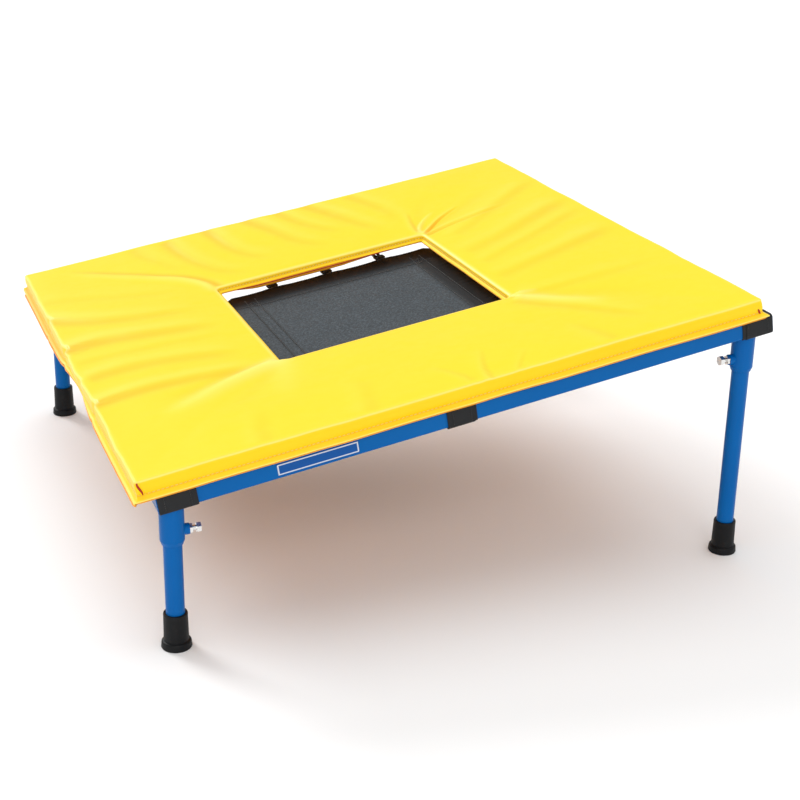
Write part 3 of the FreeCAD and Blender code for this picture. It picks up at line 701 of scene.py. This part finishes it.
# outward direction of each column, for movements of the walls
side_out = np.repeat(np.array([(0, -1), (1, 0), (0, 1), (-1, 0)], float), SIDE_COLUMNS, 0)[None]
run = np.where(np.abs(side_out[..., 0]) > 0.5, V0, U0)
side_id = np.repeat(np.arange(4), SIDE_COLUMNS)[None]
on_front, on_low = side_id == 0, side_id == 3


def wall_wave(step, seed):
    return lattice_noise(run, side_id * 400.0, step, seed)


corner_fade = smooth_step(np.minimum(np.abs(run - np.where(side_id % 2 == 0, WALL[0], WALL[2])),
                                     np.abs(run - np.where(side_id % 2 == 0, WALL[1], WALL[3]))) / 60)
wave = (2.2 * wall_wave(130, 11) + 1.1 * wall_wave(52, 12) + 0.35 * wall_wave(17, 15)) * corner_fade
upper = np.clip((height - 46) / 22, 0, 1)
shift = np.where(is_wall | is_rim, wave * upper, 0)
flare = np.clip((49 - height) / 8, 0, 1)
drop_wave = (1.3 * wall_wave(160, 13) + 0.6 * wall_wave(60, 14)) * corner_fade
drop = np.where(is_wall, -drop_wave * flare, 0)
# notches that the deep folds pull into the low edge
for at, deep, wide in ((909, 3.0, 9), (706, 6.5, 12), (660, 2.4, 16), (520, 2.2, 14), (385, 4.2, 10)):
    pull = bell(V0, at, wide) * on_low
    shift -= np.where(is_wall | is_rim, deep * pull * (0.35 + 0.65 * upper), 0)
    points[..., 2] -= np.where(is_rim, deep * 0.4 * pull, 0)
for at, deep, wide in ((640, 1.8, 8), (612, 1.2, 7), (705, 1.2, 7)):
    pull = bell(U0, at, wide) * on_front
    shift -= np.where(is_wall | is_rim, deep * pull * upper, 0)
# the low side's flange tucks under the wall about its middle, and hangs lower towards the ends
tuck = bell(V0, 560, 120) * on_low
shift -= np.where(is_wall, 8.5 * tuck * flare, 0)
sag = (4.5 * smooth_step((V0 - 640) / 260) + 3.0 * smooth_step((470 - V0) / 260)) * on_low
drop -= np.where(is_wall, sag * flare, 0)
points[..., :2] += side_out * shift[..., None]
points[..., 2] += drop
# the opening's lips wave up and down a little
inner_drop = np.where(is_inner, 1.0 * wall_wave(90, 21), 0)
points[..., 2] += inner_drop * np.clip((58 - height) / 10, 0, 1)

# painted shade in the folds; with the far flange's deeper orange and the seams it goes into the crease
# attribute
mark = np.clip(fold_shade * (is_top | is_rim), 0, 1)
# the low side's flange is painted a deeper orange over its far half
far_flange = is_wall * np.clip((48 - height) / 3, 0, 1) * on_low * smooth_step((V0 - 640) / 160)
mark = np.maximum(mark, far_flange)
# painted shade along the outer and inner seams
seam_shade = bell(height, 48.5, 1.4) * is_wall + bell(height, 50.8, 1.2) * is_inner
cover = mesh_object("cushioned_cover", points.reshape(-1, 3), ring_faces(*U0.shape), VINYL)
paint(cover, "crease", np.clip(mark + 0.95 * seam_shade, 0, 1))
# painted highlight: a light line along the rim's crest, the flange's edge and the inner lip, and the fold
# highlights; stored as the edge attribute
painted_highlight = (bell(height, PAD_TOP - 2.2, 1.5) * (is_wall | is_rim)
          + bell(height, 41.0, 0.9) * is_wall + bell(height, 57.4, 1.6) * is_inner)
painted_highlight = painted_highlight + np.clip(fold_highlight * (is_top | is_rim), 0, 0.8)
paint(cover, "edge", np.clip(painted_highlight, 0, 1))
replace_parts(cover, "pad_cover", "foam_front", "foam_back", "foam_low", "foam_high")

# stitches of the outer and the inner seam
row_of = {name: int(np.argmin([abs(r[1] - level) + (0 if r[2] == name else 1000) for r in rows]))
          for name, level in (("wall", OUTER_SEAM), ("inner", INNER_SEAM))}
seams = Builder()
stitches(seams, points[row_of["wall"]], np.concatenate([side_out[0], 0.25 * np.ones((U0.shape[1], 1))], 1),
         length=5.2, gap=3.0, radius=0.6, closed=True)
stitches(seams, points[row_of["inner"]], np.concatenate([-side_out[0], 0.3 * np.ones((U0.shape[1], 1))], 1),
         length=4.8, gap=2.6, radius=0.85, closed=True)
seam_object = seams.object("cover_stitches", YELLOW_THREAD)

# the seam has opened at the front low corner, between two lips of the cover, and a little at the front high
# corner; a red sheet in both is painted shade of the opened seam
corner_u, corner_v = WALL[0], WALL[2]
SLIT_FOOT = 49
slit = []             # (level, half width, u)
for n in np.linspace(SLIT_FOOT, PAD_TOP - 3.5, 14):
    half = 2.6 * math.sin(math.pi * (n - 46) / (PAD_TOP - 44)) ** 0.7
    slit.append((n, half, corner_u + 5.5 + 3.2 * math.cos(math.pi * (n - SLIT_FOOT) / (PAD_TOP - 52.5))))
small_slit = []
for n in np.linspace(47.5, 57.5, 8):
    small_slit.append((n, 0.5 + 1.5 * math.sin(math.pi * (n - 46.5) / 12.0), WALL[1] - 7.0 - 0.35 * (n - 47.5)))
slit_shades = Builder()
for spots, edge, crown, rear in ((slit, -2.4, -2.8, -0.7), (small_slit, -3.1, -3.6, 0.8)):
    section = []
    for n, half, u in spots:
        section += [(u + across * half, corner_v + out, n) for across, out in
                    ((-1, edge), (0, crown), (1, edge), (0.8, rear), (-0.8, rear))]
    last = (len(spots) - 1) * 5
    slit_shades.add(section, ring_faces(len(spots), 5, False) + [[4, 3, 2, 1, 0], [last + k for k in range(5)]])
slit_shade_object = slit_shades.object("corner_seam_lining", RED_SHADE_AND_SEAM)
lips = Builder()
for sign in (-1, 1):
    path = [(u + sign * (half + 0.8), corner_v - 2.4, n) for n, half, u in slit]
    lips.add(*sweep(path, circle(1.15, 8), up=(0, 1, 0)))
lips_object = lips.object("corner_seam_lips", VINYL)

# ---------------------------------------------------------------- pad's underside sheet

base_rows = []
for grow, level in ((10.0, 37.5), (10.8, 38.3), (10.6, 39.1), (9.6, 39.5), (2.0, 39.4)):
    base_rows.append((loop(WALL, grow, OUTER_R + grow), level))
for t in (0.1, 0.25, 0.4, 0.55, 0.7, 0.85):
    box = between(WALL, grown(HOLE, TURN_IN), t)
    base_rows.append((loop(box, 0, 12), 39.4))
for grow, level in ((24, 40.4), (12, 41.3), (3, 42.6), (-3.5, 43.4), (-6.2, 43.7), (-6.7, 43.1), (-6.2, 42.4),
                    (-3, 41.6), (3, 40.8), (12, 39.6), (24, 38.6)):
    base_rows.append((loop(HOLE, grow, HOLE_R + grow), level))
for t in (0.15, 0.3, 0.45, 0.6, 0.75, 0.9, 1.0):
    box = between(grown(HOLE, TURN_IN), WALL, t)
    base_rows.append((loop(box, 0, 12), 37.4))
base_outline = np.stack([r[0] for r in base_rows])
base_height = np.repeat(np.array([r[1] for r in base_rows])[:, None], base_outline.shape[1], 1)
base_points = np.concatenate([base_outline, base_height[..., None]], -1)
outer_rows, lip_rows = slice(0, 5), slice(11, 22)
flange = slice(2, 3)       # the cover's row that the underside's edge follows
base_points[outer_rows, :, :2] += (side_out * shift[flange][..., None])
base_points[outer_rows, :, 2] += drop[flange]
# on the low side the underside's edge peeps out below the cover's
peep = on_low * smooth_step(np.abs(V0[flange] - 560) / 160)
base_points[outer_rows, :, 2] -= (3.2 + 4.2 * smooth_step((V0[flange] - 700) / 200)) * peep
base_points[outer_rows, :, 0] -= 1.6 * peep
base_points[lip_rows, :, 2] += inner_drop[-8]
# in the underside's orange of painted shade
base = mesh_object("cover_underside", base_points.reshape(-1, 3), ring_faces(*base_outline.shape[:2]), SHADED_UNDER)
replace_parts(base, "pad_base")

# the underside's edge hangs in sight below the cover's back lip, with its dark red seam; its orange is painted
# shade
hang_u = np.linspace(HOLE[0] + 24, HOLE[1] - 62, 120)
share = (hang_u - hang_u[0]) / (hang_u[-1] - hang_u[0])
hang = 8.5 * np.minimum(smooth_step(share / 0.18), smooth_step((1 - share) / 0.45))
kink = bell(share, 0.66, 0.02)
lip_v = HOLE[3] - 7.2 + 0.4 * lattice_noise(hang_u, 0 * hang_u, 60, 22)
strip = []
for depth_share, forward in ((0.0, 0.0), (0.3, -0.5), (0.65, -0.6), (0.95, 0.0), (1.0, 0.9), (0.9, 1.7),
                             (0.5, 1.2), (0.0, 1.4)):
    strip.append(np.stack([hang_u, lip_v + forward + 1.5 * kink, 44.2 - hang * depth_share - 1.2 * kink], -1))
strip = np.stack(strip)
count = len(hang_u)
strip_faces = []
for r in range(len(strip)):
    nxt = (r + 1) % len(strip)
    strip_faces += [[r * count + k, r * count + k + 1, nxt * count + k + 1, nxt * count + k]
                    for k in range(count - 1)]
strip_faces.append([r * count for r in range(len(strip))])
strip_faces.append([r * count + count - 1 for r in range(len(strip))][::-1])
hanging = mesh_object("underside_hanging_edge", strip.reshape(-1, 3), strip_faces, SHADED_UNDER)
seam_path = np.stack([hang_u, lip_v - 0.5 + 1.5 * kink, 44.5 - hang * 0.22 - 1.2 * kink], -1)[6:-6]
seam_points, seam_faces = sweep(seam_path, circle(1.2, 8))
red_seam = mesh_object("underside_seam", seam_points, seam_faces, RED_SHADE_AND_SEAM)

# ---------------------------------------------------------------- bed

bed_half = BED / 2
bed_corner = 30.0
TAB_PITCH = BED / 4
steps = 150


def bed_edge(side_run):
    """How far the bed's edge is drawn in between two tabs, from the pull of the cords."""
    near = np.minimum.reduce([np.abs(side_run - k * TAB_PITCH) for k in (-1.85, -1, 0, 1, 1.85)])
    return 5.0 * smooth_step(near / (TAB_PITCH * 0.5))


grid = np.linspace(-1, 1, steps)
gx, gy = np.meshgrid(grid, grid, indexing="ij")
bx, by = gx * bed_half, gy * bed_half
over = np.maximum(np.abs(bx) + np.abs(by) - (2 * bed_half - bed_corner), 0) / 2
bx, by = bx - np.sign(bx) * over, by - np.sign(by) * over
bx = bx - np.sign(gx) * bed_edge(by) * np.abs(gx) ** 12
by = by - np.sign(gy) * bed_edge(bx) * np.abs(gy) ** 12
edge_gap = np.minimum(bed_half - np.abs(bx), bed_half - np.abs(by))
dish = -3.2 * smooth_step(edge_gap / 190)
ripple = 0.5 * lattice_noise(bx, by, 95, 31) + 0.25 * lattice_noise(bx, by, 36, 32)
pull = np.zeros(bx.shape)
for angle in range(4):
    c, s = math.cos(angle * math.pi / 2), math.sin(angle * math.pi / 2)
    out, along = bx * c + by * s, -bx * s + by * c
    for k in (-1, 0, 1):
        near = bell(along, k * TAB_PITCH, 22) * smooth_step((out - bed_half + 80) / 80)
        pull += 0.9 * near * (1 + 0.4 * np.cos((along - k * TAB_PITCH) / 3.4))
hem_wide = 65.0
hem_line = smooth_step((hem_wide - edge_gap) / 1.6)
# painted shade, near black: bands along the bed's back and high side, under the pad's lips
bed_shade = np.maximum(0.85 * smooth_step((by - bed_half + 112) / 70), smooth_step((bx - bed_half + 96) / 34))
# painted shade along the sewn lines near the bed's edge, which lie in small grooves
for away in (bx + bed_half - 51, bx + bed_half - 75, bx - bed_half + 80, by - bed_half + 80,
             by + bed_half - 80):
    bed_shade = np.maximum(bed_shade, 0.75 * bell(away, 0, 2.4))
mat_top = BED_N + dish + ripple + pull + 1.3 * hem_line
mat_low = mat_top - 1.7 - 1.3 * hem_line
top = np.stack([BED_U + bx, BED_V + by, mat_top], -1).reshape(-1, 3)
low = np.stack([BED_U + bx, BED_V + by, mat_low], -1).reshape(-1, 3)
under = steps * steps
faces = slab_faces(np.arange(under).reshape(steps, steps), under)
mat = mesh_object("bed_sheet", np.concatenate([top, low]), faces, WEAVE, "bed")
# the hem attribute: a little darker over the edge band, the painted shade bands and lines above, and the
# underside painted as full shade
paint(mat, "hem", np.concatenate([np.clip(hem_line * 0.12 + bed_shade, 0, 1).reshape(-1), np.ones(under)]))
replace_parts(mat, "bed_mat", "bed_hem")


def bed_height(u, v):
    """Height of the bed's top face at local u, v."""
    i = np.clip(((np.asarray(u, float) - BED_U) / bed_half + 1) / 2 * (steps - 1), 0, steps - 1.001)
    j = np.clip(((np.asarray(v, float) - BED_V) / bed_half + 1) / 2 * (steps - 1), 0, steps - 1.001)
    i0, j0 = i.astype(int), j.astype(int)
    return inside_cell(mat_top, i0, j0, i - i0, j - j0)


def on_bed(path):
    path = np.asarray(path, float)
    dense = []
    for p, q in zip(path[:-1], path[1:]):
        count = max(2, int(np.linalg.norm(q - p) / 4))
        dense += [p + (q - p) * t for t in np.linspace(0, 1, count, endpoint=False)]
    dense.append(path[-1])
    dense = np.array(dense)
    return np.concatenate([dense, bed_height(dense[:, 0], dense[:, 1])[:, None]], 1)


bed_threads = Builder()
STITCH_LINES = [("u", at) for at in (-bed_half + 51, -bed_half + 75, bed_half - 80, bed_half - 56)]
STITCH_LINES += [("v", at) for at in (bed_half - 80, -bed_half + 80, bed_half - 6, -bed_half + 6)]
STITCH_LINES += [("u", at) for at in (-bed_half + 6, bed_half - 6)]
for direction, offset in STITCH_LINES:
    reach = bed_half - 34
    ends_uv = [(offset, -reach), (offset, reach)] if direction == "u" else [(-reach, offset), (reach, offset)]
    path = [(BED_U + x, BED_V + y) for x, y in ends_uv]
    stitches(bed_threads, on_bed(path), (0, 0, 1), length=3.8, gap=0.5, radius=0.95, lift=0.15)

# where the twelve side tabs are: side, direction outward, place along the side
STATIONS = []
for side, angle in (("high", 0), ("back", 90), ("low", 180), ("front", 270)):
    for count in (-1, 0, 1):
        STATIONS.append((side, math.radians(angle), count * TAB_PITCH))


def turned(x, y, angle):
    return x * math.cos(angle) - y * math.sin(angle), x * math.sin(angle) + y * math.cos(angle)


def crossed_patch(u, v, angle, long, wide):
    x0, x1, y = -long / 2, long / 2, wide / 2
    ring = [(x0, -y), (x1, -y), (x1, y), (x0, y), (x0, -y)]
    for chain in (ring, [(x0, -y), (x1, y)], [(x0, y), (x1, -y)]):
        path = [tuple(np.add((u, v), turned(px, py, angle))) for px, py in chain]
        stitches(bed_threads, on_bed(path), (0, 0, 1), length=3.0, gap=1.0, radius=0.7, lift=0.35)


# crossed stitching inside the bed's four corners
reach = bed_half - hem_wide - 4
for x in (-1, 1):
    for y in (-1, 1):
        crossed_patch(BED_U + x * reach, BED_V + y * reach, math.atan2(y, x), 26, 15)
thread_object = bed_threads.object("bed_stitches", BLACK_THREAD, "bed")

# ---------------------------------------------------------------- webbing helper


def band(name, path, up, wide, thick, body="frame", closed=False):
    """A woven band: its width lies across the path, its thickness along up. Carries its weave as attributes."""
    profile = rounded_rectangle(wide, thick, min(thick * 0.45, 0.9), 2)
    fine = []
    for k in range(len(profile)):
        p, q = np.array(profile[k]), np.array(profile[(k + 1) % len(profile)])
        count = max(1, int(np.linalg.norm(q - p) / 4))
        fine += [tuple(p + (q - p) * t / count) for t in range(count)]
    points, faces = sweep(path, fine, closed, up)
    obj = mesh_object(name, points, faces, WEBBING, body)
    path = np.asarray(path, float)
    run = np.concatenate([[0], np.cumsum(np.linalg.norm(np.diff(path, axis=0), axis=1))])
    paint(obj, "rib", np.repeat(run, len(fine)))
    paint(obj, "rib_across", np.tile(np.array(fine)[:, 0], len(path)))
    return obj


def joined(name, pieces):
    """One mesh from several, keeping their attributes."""
    for piece in pieces:
        piece.parent = None
    bpy.context.view_layer.update()
    with bpy.context.temp_override(active_object=pieces[0], selected_editable_objects=pieces,
                                   selected_objects=pieces, object=pieces[0]):
        bpy.ops.object.join()
    pieces[0].name = name
    return pieces[0]


def arc(centre, radius, start, end, count=6):
    """Points of an arc in degrees, as (x, z) pairs round a centre."""
    angles = [math.radians(lerp(start, end, k / count)) for k in range(count + 1)]
    return [(centre[0] + radius * math.cos(a), centre[1] + radius * math.sin(a)) for a in angles]


# ---------------------------------------------------------------- tabs and cords, round the links

wire, play = 2.25, 0.3                # a link's wire radius, and the gap left round it
cord_radius, clip_radius = 4.0, 5.6
link_start, link_long = 12.0, 18.0
hook_reach, hook_radius = 16.0, 3.0
rod_inset = 24.0                      # from a rail's inner face to its corner rod
level = (bed_lo[2] + bed_hi[2]) / 2
corner_cords = {}
tab_parts = []


def station_frame(centre, angle):
    """Local x outward from the bed, y sideways, z up, as rows of a 3 by 3 matrix."""
    x = np.array([math.cos(angle), math.sin(angle), 0])
    y = np.array([-math.sin(angle), math.cos(angle), 0])
    return np.array([*centre, level]), np.stack([x, y, (0, 0, 1)])


def tab_band(name, base, axes, edge, wide):
    """Webbing that leaves the mat's underside, rounds the link's inner bar and comes back on top."""
    fold = wire + 1.2
    bar = edge + link_start
    under = [(x, -4.9) for x in np.linspace(edge - 34, edge, 9)]
    wrap = arc((bar, 0), fold, -110, 105, 10)
    back_run = [(edge + 5, 0.6), (edge + 1, -2.2)] + [(x, -3.1) for x in np.linspace(edge - 3, edge - 32, 8)]
    curve = under + [(bar - 4, -4.0)] + wrap + back_run
    path = [base + x * axes[0] + z * axes[2] for x, z in curve]
    ups = []
    curve = np.array(curve)
    ahead = np.gradient(curve, axis=0)
    for k, (dx, dz) in enumerate(ahead):
        size = math.hypot(dx, dz)
        ups.append(-dz / size * axes[0] + dx / size * axes[2])
    return band(name, path, ups, wide, 1.5, "bed")


def cord_loop(base, axes, start, end):
    """Rubber cord in a stadium loop on edge, with a clamped splice on its lower run."""
    round_link, round_hook = wire + play + cord_radius, hook_radius + play + cord_radius
    pull = max(round_link, round_hook)
    x0, x1 = start - round_link + pull, end + round_hook - pull
    curve = [(x, pull) for x in np.linspace(x0, x1, 14)]
    curve += arc((x1, 0), pull, 90, -90, 12)[1:-1]
    curve += [(x, -pull) for x in np.linspace(x1, x0, 14)]
    curve += arc((x0, 0), pull, 270, 90, 12)[1:-1]
    path = [base + x * axes[0] + z * axes[2] for x, z in curve]
    points, faces = sweep(path, circle(cord_radius, 14), True, axes[1])
    middle = (x0 + x1) / 2
    sleeve_path = [base + (middle + x) * axes[0] - pull * axes[2] for x in (-9, -8, 8, 9)]
    return points, faces, sleeve_path


def stretched(cord, clip, tags, name, origin, direction, start, end):
    """A cord and its clip as two objects that reach from the bed to the frame; returns the cord."""
    made = []
    for builder, tag, material, slot in ((cord, tags[0], CORD, "black_cord"),
                                         (clip, tags[1], ZINC, "zinc_steel")):
        obj = builder.object(f"{tag}_{name}", material, None)
        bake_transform(obj)
        made.append(obj)
    return made[0]


cords = {k: Builder() for k in ("front", "back", "low", "high")}
clips = {k: Builder() for k in cords}
half_frame = {"high": LENGTH / 2, "low": LENGTH / 2, "back": DEPTH / 2, "front": DEPTH / 2}
ends = {}
for side, angle, offset in STATIONS:
    centre = np.array([BED_U, BED_V]) + np.array([-math.sin(angle), math.cos(angle)]) * offset
    base_point, axes = station_frame(centre, angle)
    tab_parts.append(tab_band("tab", base_point, axes, bed_half, 13.0))
    bar = half_frame[side] - RAIL - hook_reach
    start = bed_half + link_start + link_long
    points_, faces_, sleeve_path = cord_loop(base_point, axes, start, bar)
    cords[side].add(points_, faces_)
    clips[side].add(*sweep(sleeve_path, circle(clip_radius, 14), False, axes[1]))
    ends[side] = (axes[0], start, bar)
corner_reach = bed_half - bed_corner / 2
for x in (-1, 1):
    for y in (-1, 1):
        bed_spot = np.array([x, y]) * corner_reach
        rod_spot = np.array([x * (LENGTH / 2 - RAIL - rod_inset), y * (DEPTH / 2 - RAIL - rod_inset)])
        aim = rod_spot - bed_spot
        angle = math.atan2(aim[1], aim[0])
        cord_start, cord_end = link_start + link_long, float(np.linalg.norm(aim))
        base_point, axes = station_frame(bed_spot + (BED_U, BED_V), angle)
        tab_parts.append(tab_band("tab", base_point, axes, 0, 13.0))
        points_, faces_, sleeve_path = cord_loop(base_point, axes, cord_start, cord_end)
        name = f"corner_{'low' if x < 0 else 'high'}_{'front' if y < 0 else 'back'}"
        one, clip = Builder(), Builder()
        one.add(points_, faces_)
        clip.add(*sweep(sleeve_path, circle(clip_radius, 14), False, axes[1]))
        corner_cords[name] = stretched(one, clip, ("cord", "clip"), name, base_point, axes[0],
                                       cord_start, cord_end)
for side in cords:
    centre = np.array([BED_U, BED_V, level])
    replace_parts(stretched(cords[side], clips[side], ("cords", "clips"), side, centre, *ends[side]),
                f"cables_{side}")
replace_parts(corner_cords["corner_low_front"], "cables_corner")
tabs = joined("bed_tab_webbing", tab_parts)
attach(tabs, "bed")
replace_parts(tabs, "bed_tabs")

# ---------------------------------------------------------------- straps round the rails

RAIL_GAP, RAIL_ROUND = 0.3, 4.0


def outward(path, ahead, centre):
    """For each point of a path round the rail, the direction square to it that leads away from the centre."""
    ups = np.cross(ahead, (1, 0, 0))
    return np.where(((path - centre) * ups).sum(1)[:, None] > 0, ups, -ups)


def closed_band(name, start, end, back, grow=0.75, thick=1.4):
    """A band all the way round the rail, between two places along it."""
    near = DEPTH - RAIL if back else 0.0
    reach, radius = RAIL_GAP + grow, RAIL_ROUND + grow
    lo_v, hi_v, lo_n, hi_n = near - reach, near + RAIL + reach, -reach, RAIL + reach
    outline = []
    for cv, cn, turn, following in (
            (hi_v - radius, hi_n - radius, 0, (lo_v + radius, hi_n)),
            (lo_v + radius, hi_n - radius, 90, (lo_v, lo_n + radius)),
            (lo_v + radius, lo_n + radius, 180, (hi_v - radius, lo_n)),
            (hi_v - radius, lo_n + radius, 270, (hi_v, hi_n - radius))):
        outline += arc((cv, cn), radius, turn, turn + 90, 5)
        last = outline[-1]
        outline += [(lerp(last[0], following[0], t), lerp(last[1], following[1], t)) for t in (0.25, 0.5, 0.75)]
    middle = (start + end) / 2
    path = np.array([(middle, v, n) for v, n in outline])
    ups = outward(path, np.roll(path, -1, 0) - np.roll(path, 1, 0), (middle, near + RAIL / 2, RAIL / 2))
    return band(name, path, ups, end - start, thick, closed=True)


def corner_band(name, start, end, back, grow, thick, tail):
    """Over the rail's top, down its outer face and, with a tail, a short way under it, clear of the sleeve."""
    out = 1 if back else -1
    v_in, v_out = (DEPTH - RAIL, DEPTH) if back else (RAIL, 0.0)
    reach, radius = RAIL_GAP + grow, RAIL_ROUND + grow
    top_n, low_n, face_v = RAIL + reach, -reach, v_out + out * reach
    turn_v = face_v - out * radius
    quarter = [math.radians(q) for q in (0, 18, 36, 54, 72, 90)]
    curve = [(v_in + 2 * out, top_n)]
    curve += [(lerp(v_in, turn_v, t), top_n) for t in (0.33, 0.66)]
    curve += [(turn_v + out * radius * math.sin(q), top_n - radius + radius * math.cos(q)) for q in quarter]
    curve += [(face_v, lerp(top_n - radius, low_n + radius, t)) for t in (0.25, 0.5, 0.75)]
    curve += [(turn_v + out * radius * math.cos(q), low_n + radius - radius * math.sin(q)) for q in quarter]
    if tail:
        curve += [(face_v - out * (radius + k), low_n) for k in (tail * 0.5, tail)]
    middle = (start + end) / 2
    path = np.array([(middle, v, n) for v, n in curve])
    ups = outward(path, np.gradient(path, axis=0), (middle, v_out - out * RAIL / 2, RAIL / 2))
    return band(name, path, ups, end - start, thick)


strap_stitches = Builder()
for side in ("front", "back"):
    back = side == "back"
    out = 1 if back else -1
    face = DEPTH + 2.1 if back else -2.1
    for place_name in ("low", "middle", "high"):
        lo, hi = local_span(f"strap_{side}_{place_name}")
        u0, u1 = lo[0], hi[0]
        if place_name == "middle":
            pieces = [closed_band("strap", u0 + 2, u1, back), closed_band("strap2", u0, u1 - 5, back, 2.1, 1.2)]
        elif place_name == "low":
            pieces = [corner_band("a", u0, u1 - 8, back, 0.75, 1.4, 0),
                      corner_band("b", u0 + 1, u1, back, 2.1, 1.2, 0),
                      corner_band("c", u1 - 16, u1 - 1, back, 0.8, 1.3, RAIL - 9)]
        else:
            pieces = [corner_band("a", u0, u1, back, 0.75, 1.4, 0),
                      corner_band("b", u0 + 8, u1 - 0.5, back, 2.1, 1.2, 0)]
        strap = joined(f"strap_{side}_{place_name}_webbing", pieces)
        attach(strap, "frame")
        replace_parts(strap, f"strap_{side}_{place_name}")
        for x in (u0 + 12, u1 - 12):
            path = [(x, face + out * 0.9, n) for n in np.linspace(4, RAIL - 4, 8)]
            stitches(strap_stitches, path, (0, out, 0), length=3.0, gap=1.4, radius=0.5)
strap_threads = strap_stitches.object("strap_stitches", BLACK_THREAD)

# ---------------------------------------------------------------- blank plate on the front rail

lo, hi = local_span("blank_label")
u0, u1, n0, n1 = lo[0], hi[0], lo[2], hi[2]
nu, nn = 80, 16
gu, gn = np.meshgrid(np.linspace(u0, u1, nu), np.linspace(n0, n1, nn), indexing="ij")
inset = np.minimum.reduce([gu - u0, u1 - gu, gn - n0, n1 - gn])
face_v = -0.12 - 0.34 * smooth_step(inset / 0.8) + 0.05 * lattice_noise(gu, gn, 18, 41)
front = np.stack([gu, face_v, gn], -1).reshape(-1, 3)
rear = np.stack([gu, np.full(gu.shape, -0.03), gn], -1).reshape(-1, 3)
faces = slab_faces(np.arange(nu * nn).reshape(nu, nn), nu * nn)
plate = mesh_object("label_film", np.concatenate([front, rear]), faces, PLATE)
frame_line = (np.abs(inset - 2.6) < 0.9).astype(float).reshape(-1)
paint(plate, "border", np.concatenate([frame_line, 0 * frame_line]))
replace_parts(plate, "blank_label")

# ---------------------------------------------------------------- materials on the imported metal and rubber

BY_KIND = {"rail": ENAMEL, "sleeve": ENAMEL, "leg": ENAMEL, "boot": BOOT, "lock": ZINC, "set": ZINC,
           "bed_links": WIRE, "cable_hooks": ENAMEL}
for name, node in cad.items():
    kind_of = name.split("_")[0]
    material = BY_KIND.get(name, BY_KIND.get(kind_of))
    if material:
        node.data.materials.clear()
        node.data.materials.append(material)

# ---------------------------------------------------------------- floor, light and camera

floor_shade = Shade("floor")
floor_shade.set(Base_Color=(0.93, 0.93, 0.93, 1), Roughness=0.9, Specular_IOR_Level=0.1)
floor = mesh_object("floor", [(-14, -14, 0), (14, -14, 0), (14, 14, 0), (-14, 14, 0)], [(0, 1, 2, 3)],
                    floor_shade.material, None, False, False)

world = bpy.context.scene.world or bpy.data.worlds.new("studio")
bpy.context.scene.world = world
world.use_nodes = True
background = world.node_tree.nodes["Background"]
background.inputs["Color"].default_value = (1, 1, 1, 1)
seen = world.node_tree.nodes.new("ShaderNodeLightPath")
level_of = world.node_tree.nodes.new("ShaderNodeMapRange")
LIT_LEVEL, SEEN_LEVEL = 0.62, 1.0      # the world as it lights the object, and as the camera sees it
level_of.inputs["To Min"].default_value = LIT_LEVEL
level_of.inputs["To Max"].default_value = SEEN_LEVEL
world.node_tree.links.new(seen.outputs["Is Camera Ray"], level_of.inputs["Value"])
world.node_tree.links.new(level_of.outputs["Result"], background.inputs["Strength"])


def sun_light(name, towards, strength, spread):
    """A distant soft lamp: its direction, its strength and how wide it looks, in degrees."""
    data = bpy.data.lights.new(name, "SUN")
    data.energy, data.angle = strength, math.radians(spread)
    lamp = bpy.data.objects.new(name, data)
    lamp.rotation_euler = Vector(towards).to_track_quat("Z", "Y").to_euler()
    bpy.context.collection.objects.link(lamp)


bpy.context.scene.view_settings.view_transform = "Standard"
sun_light("key", (-1.6, 3.4, 2.4), 1.5, 22)
sun_light("top", (0.3, 0.4, 3.0), 1.0, 55)
sun_light("front", (-0.8, -3.0, 1.6), 0.75, 40)

# the camera fitted to the frame's corners, the feet and the pad's corners
SPOT = (-1.097, -3.052, 1.488)
azimuth, pitch, roll = math.radians(21.403), math.radians(21.843), math.radians(1.016)
forward = Vector((math.sin(azimuth) * math.cos(pitch), math.cos(azimuth) * math.cos(pitch), -math.sin(pitch)))
right = forward.cross(Vector((0, 0, 1))).normalized()
up = right.cross(forward)
right_rolled = right * math.cos(roll) + up * math.sin(roll)
up_rolled = right_rolled.cross(forward)
camera_data = bpy.data.cameras.new("camera")
camera_data.lens, camera_data.sensor_width = 70.02, 36
camera = bpy.data.objects.new("camera", camera_data)
camera.matrix_world = Matrix((
    *((right_rolled[k], up_rolled[k], -forward[k], SPOT[k]) for k in range(3)),
    (0, 0, 0, 1)))
bpy.context.collection.objects.link(camera)
bpy.context.scene.camera = camera
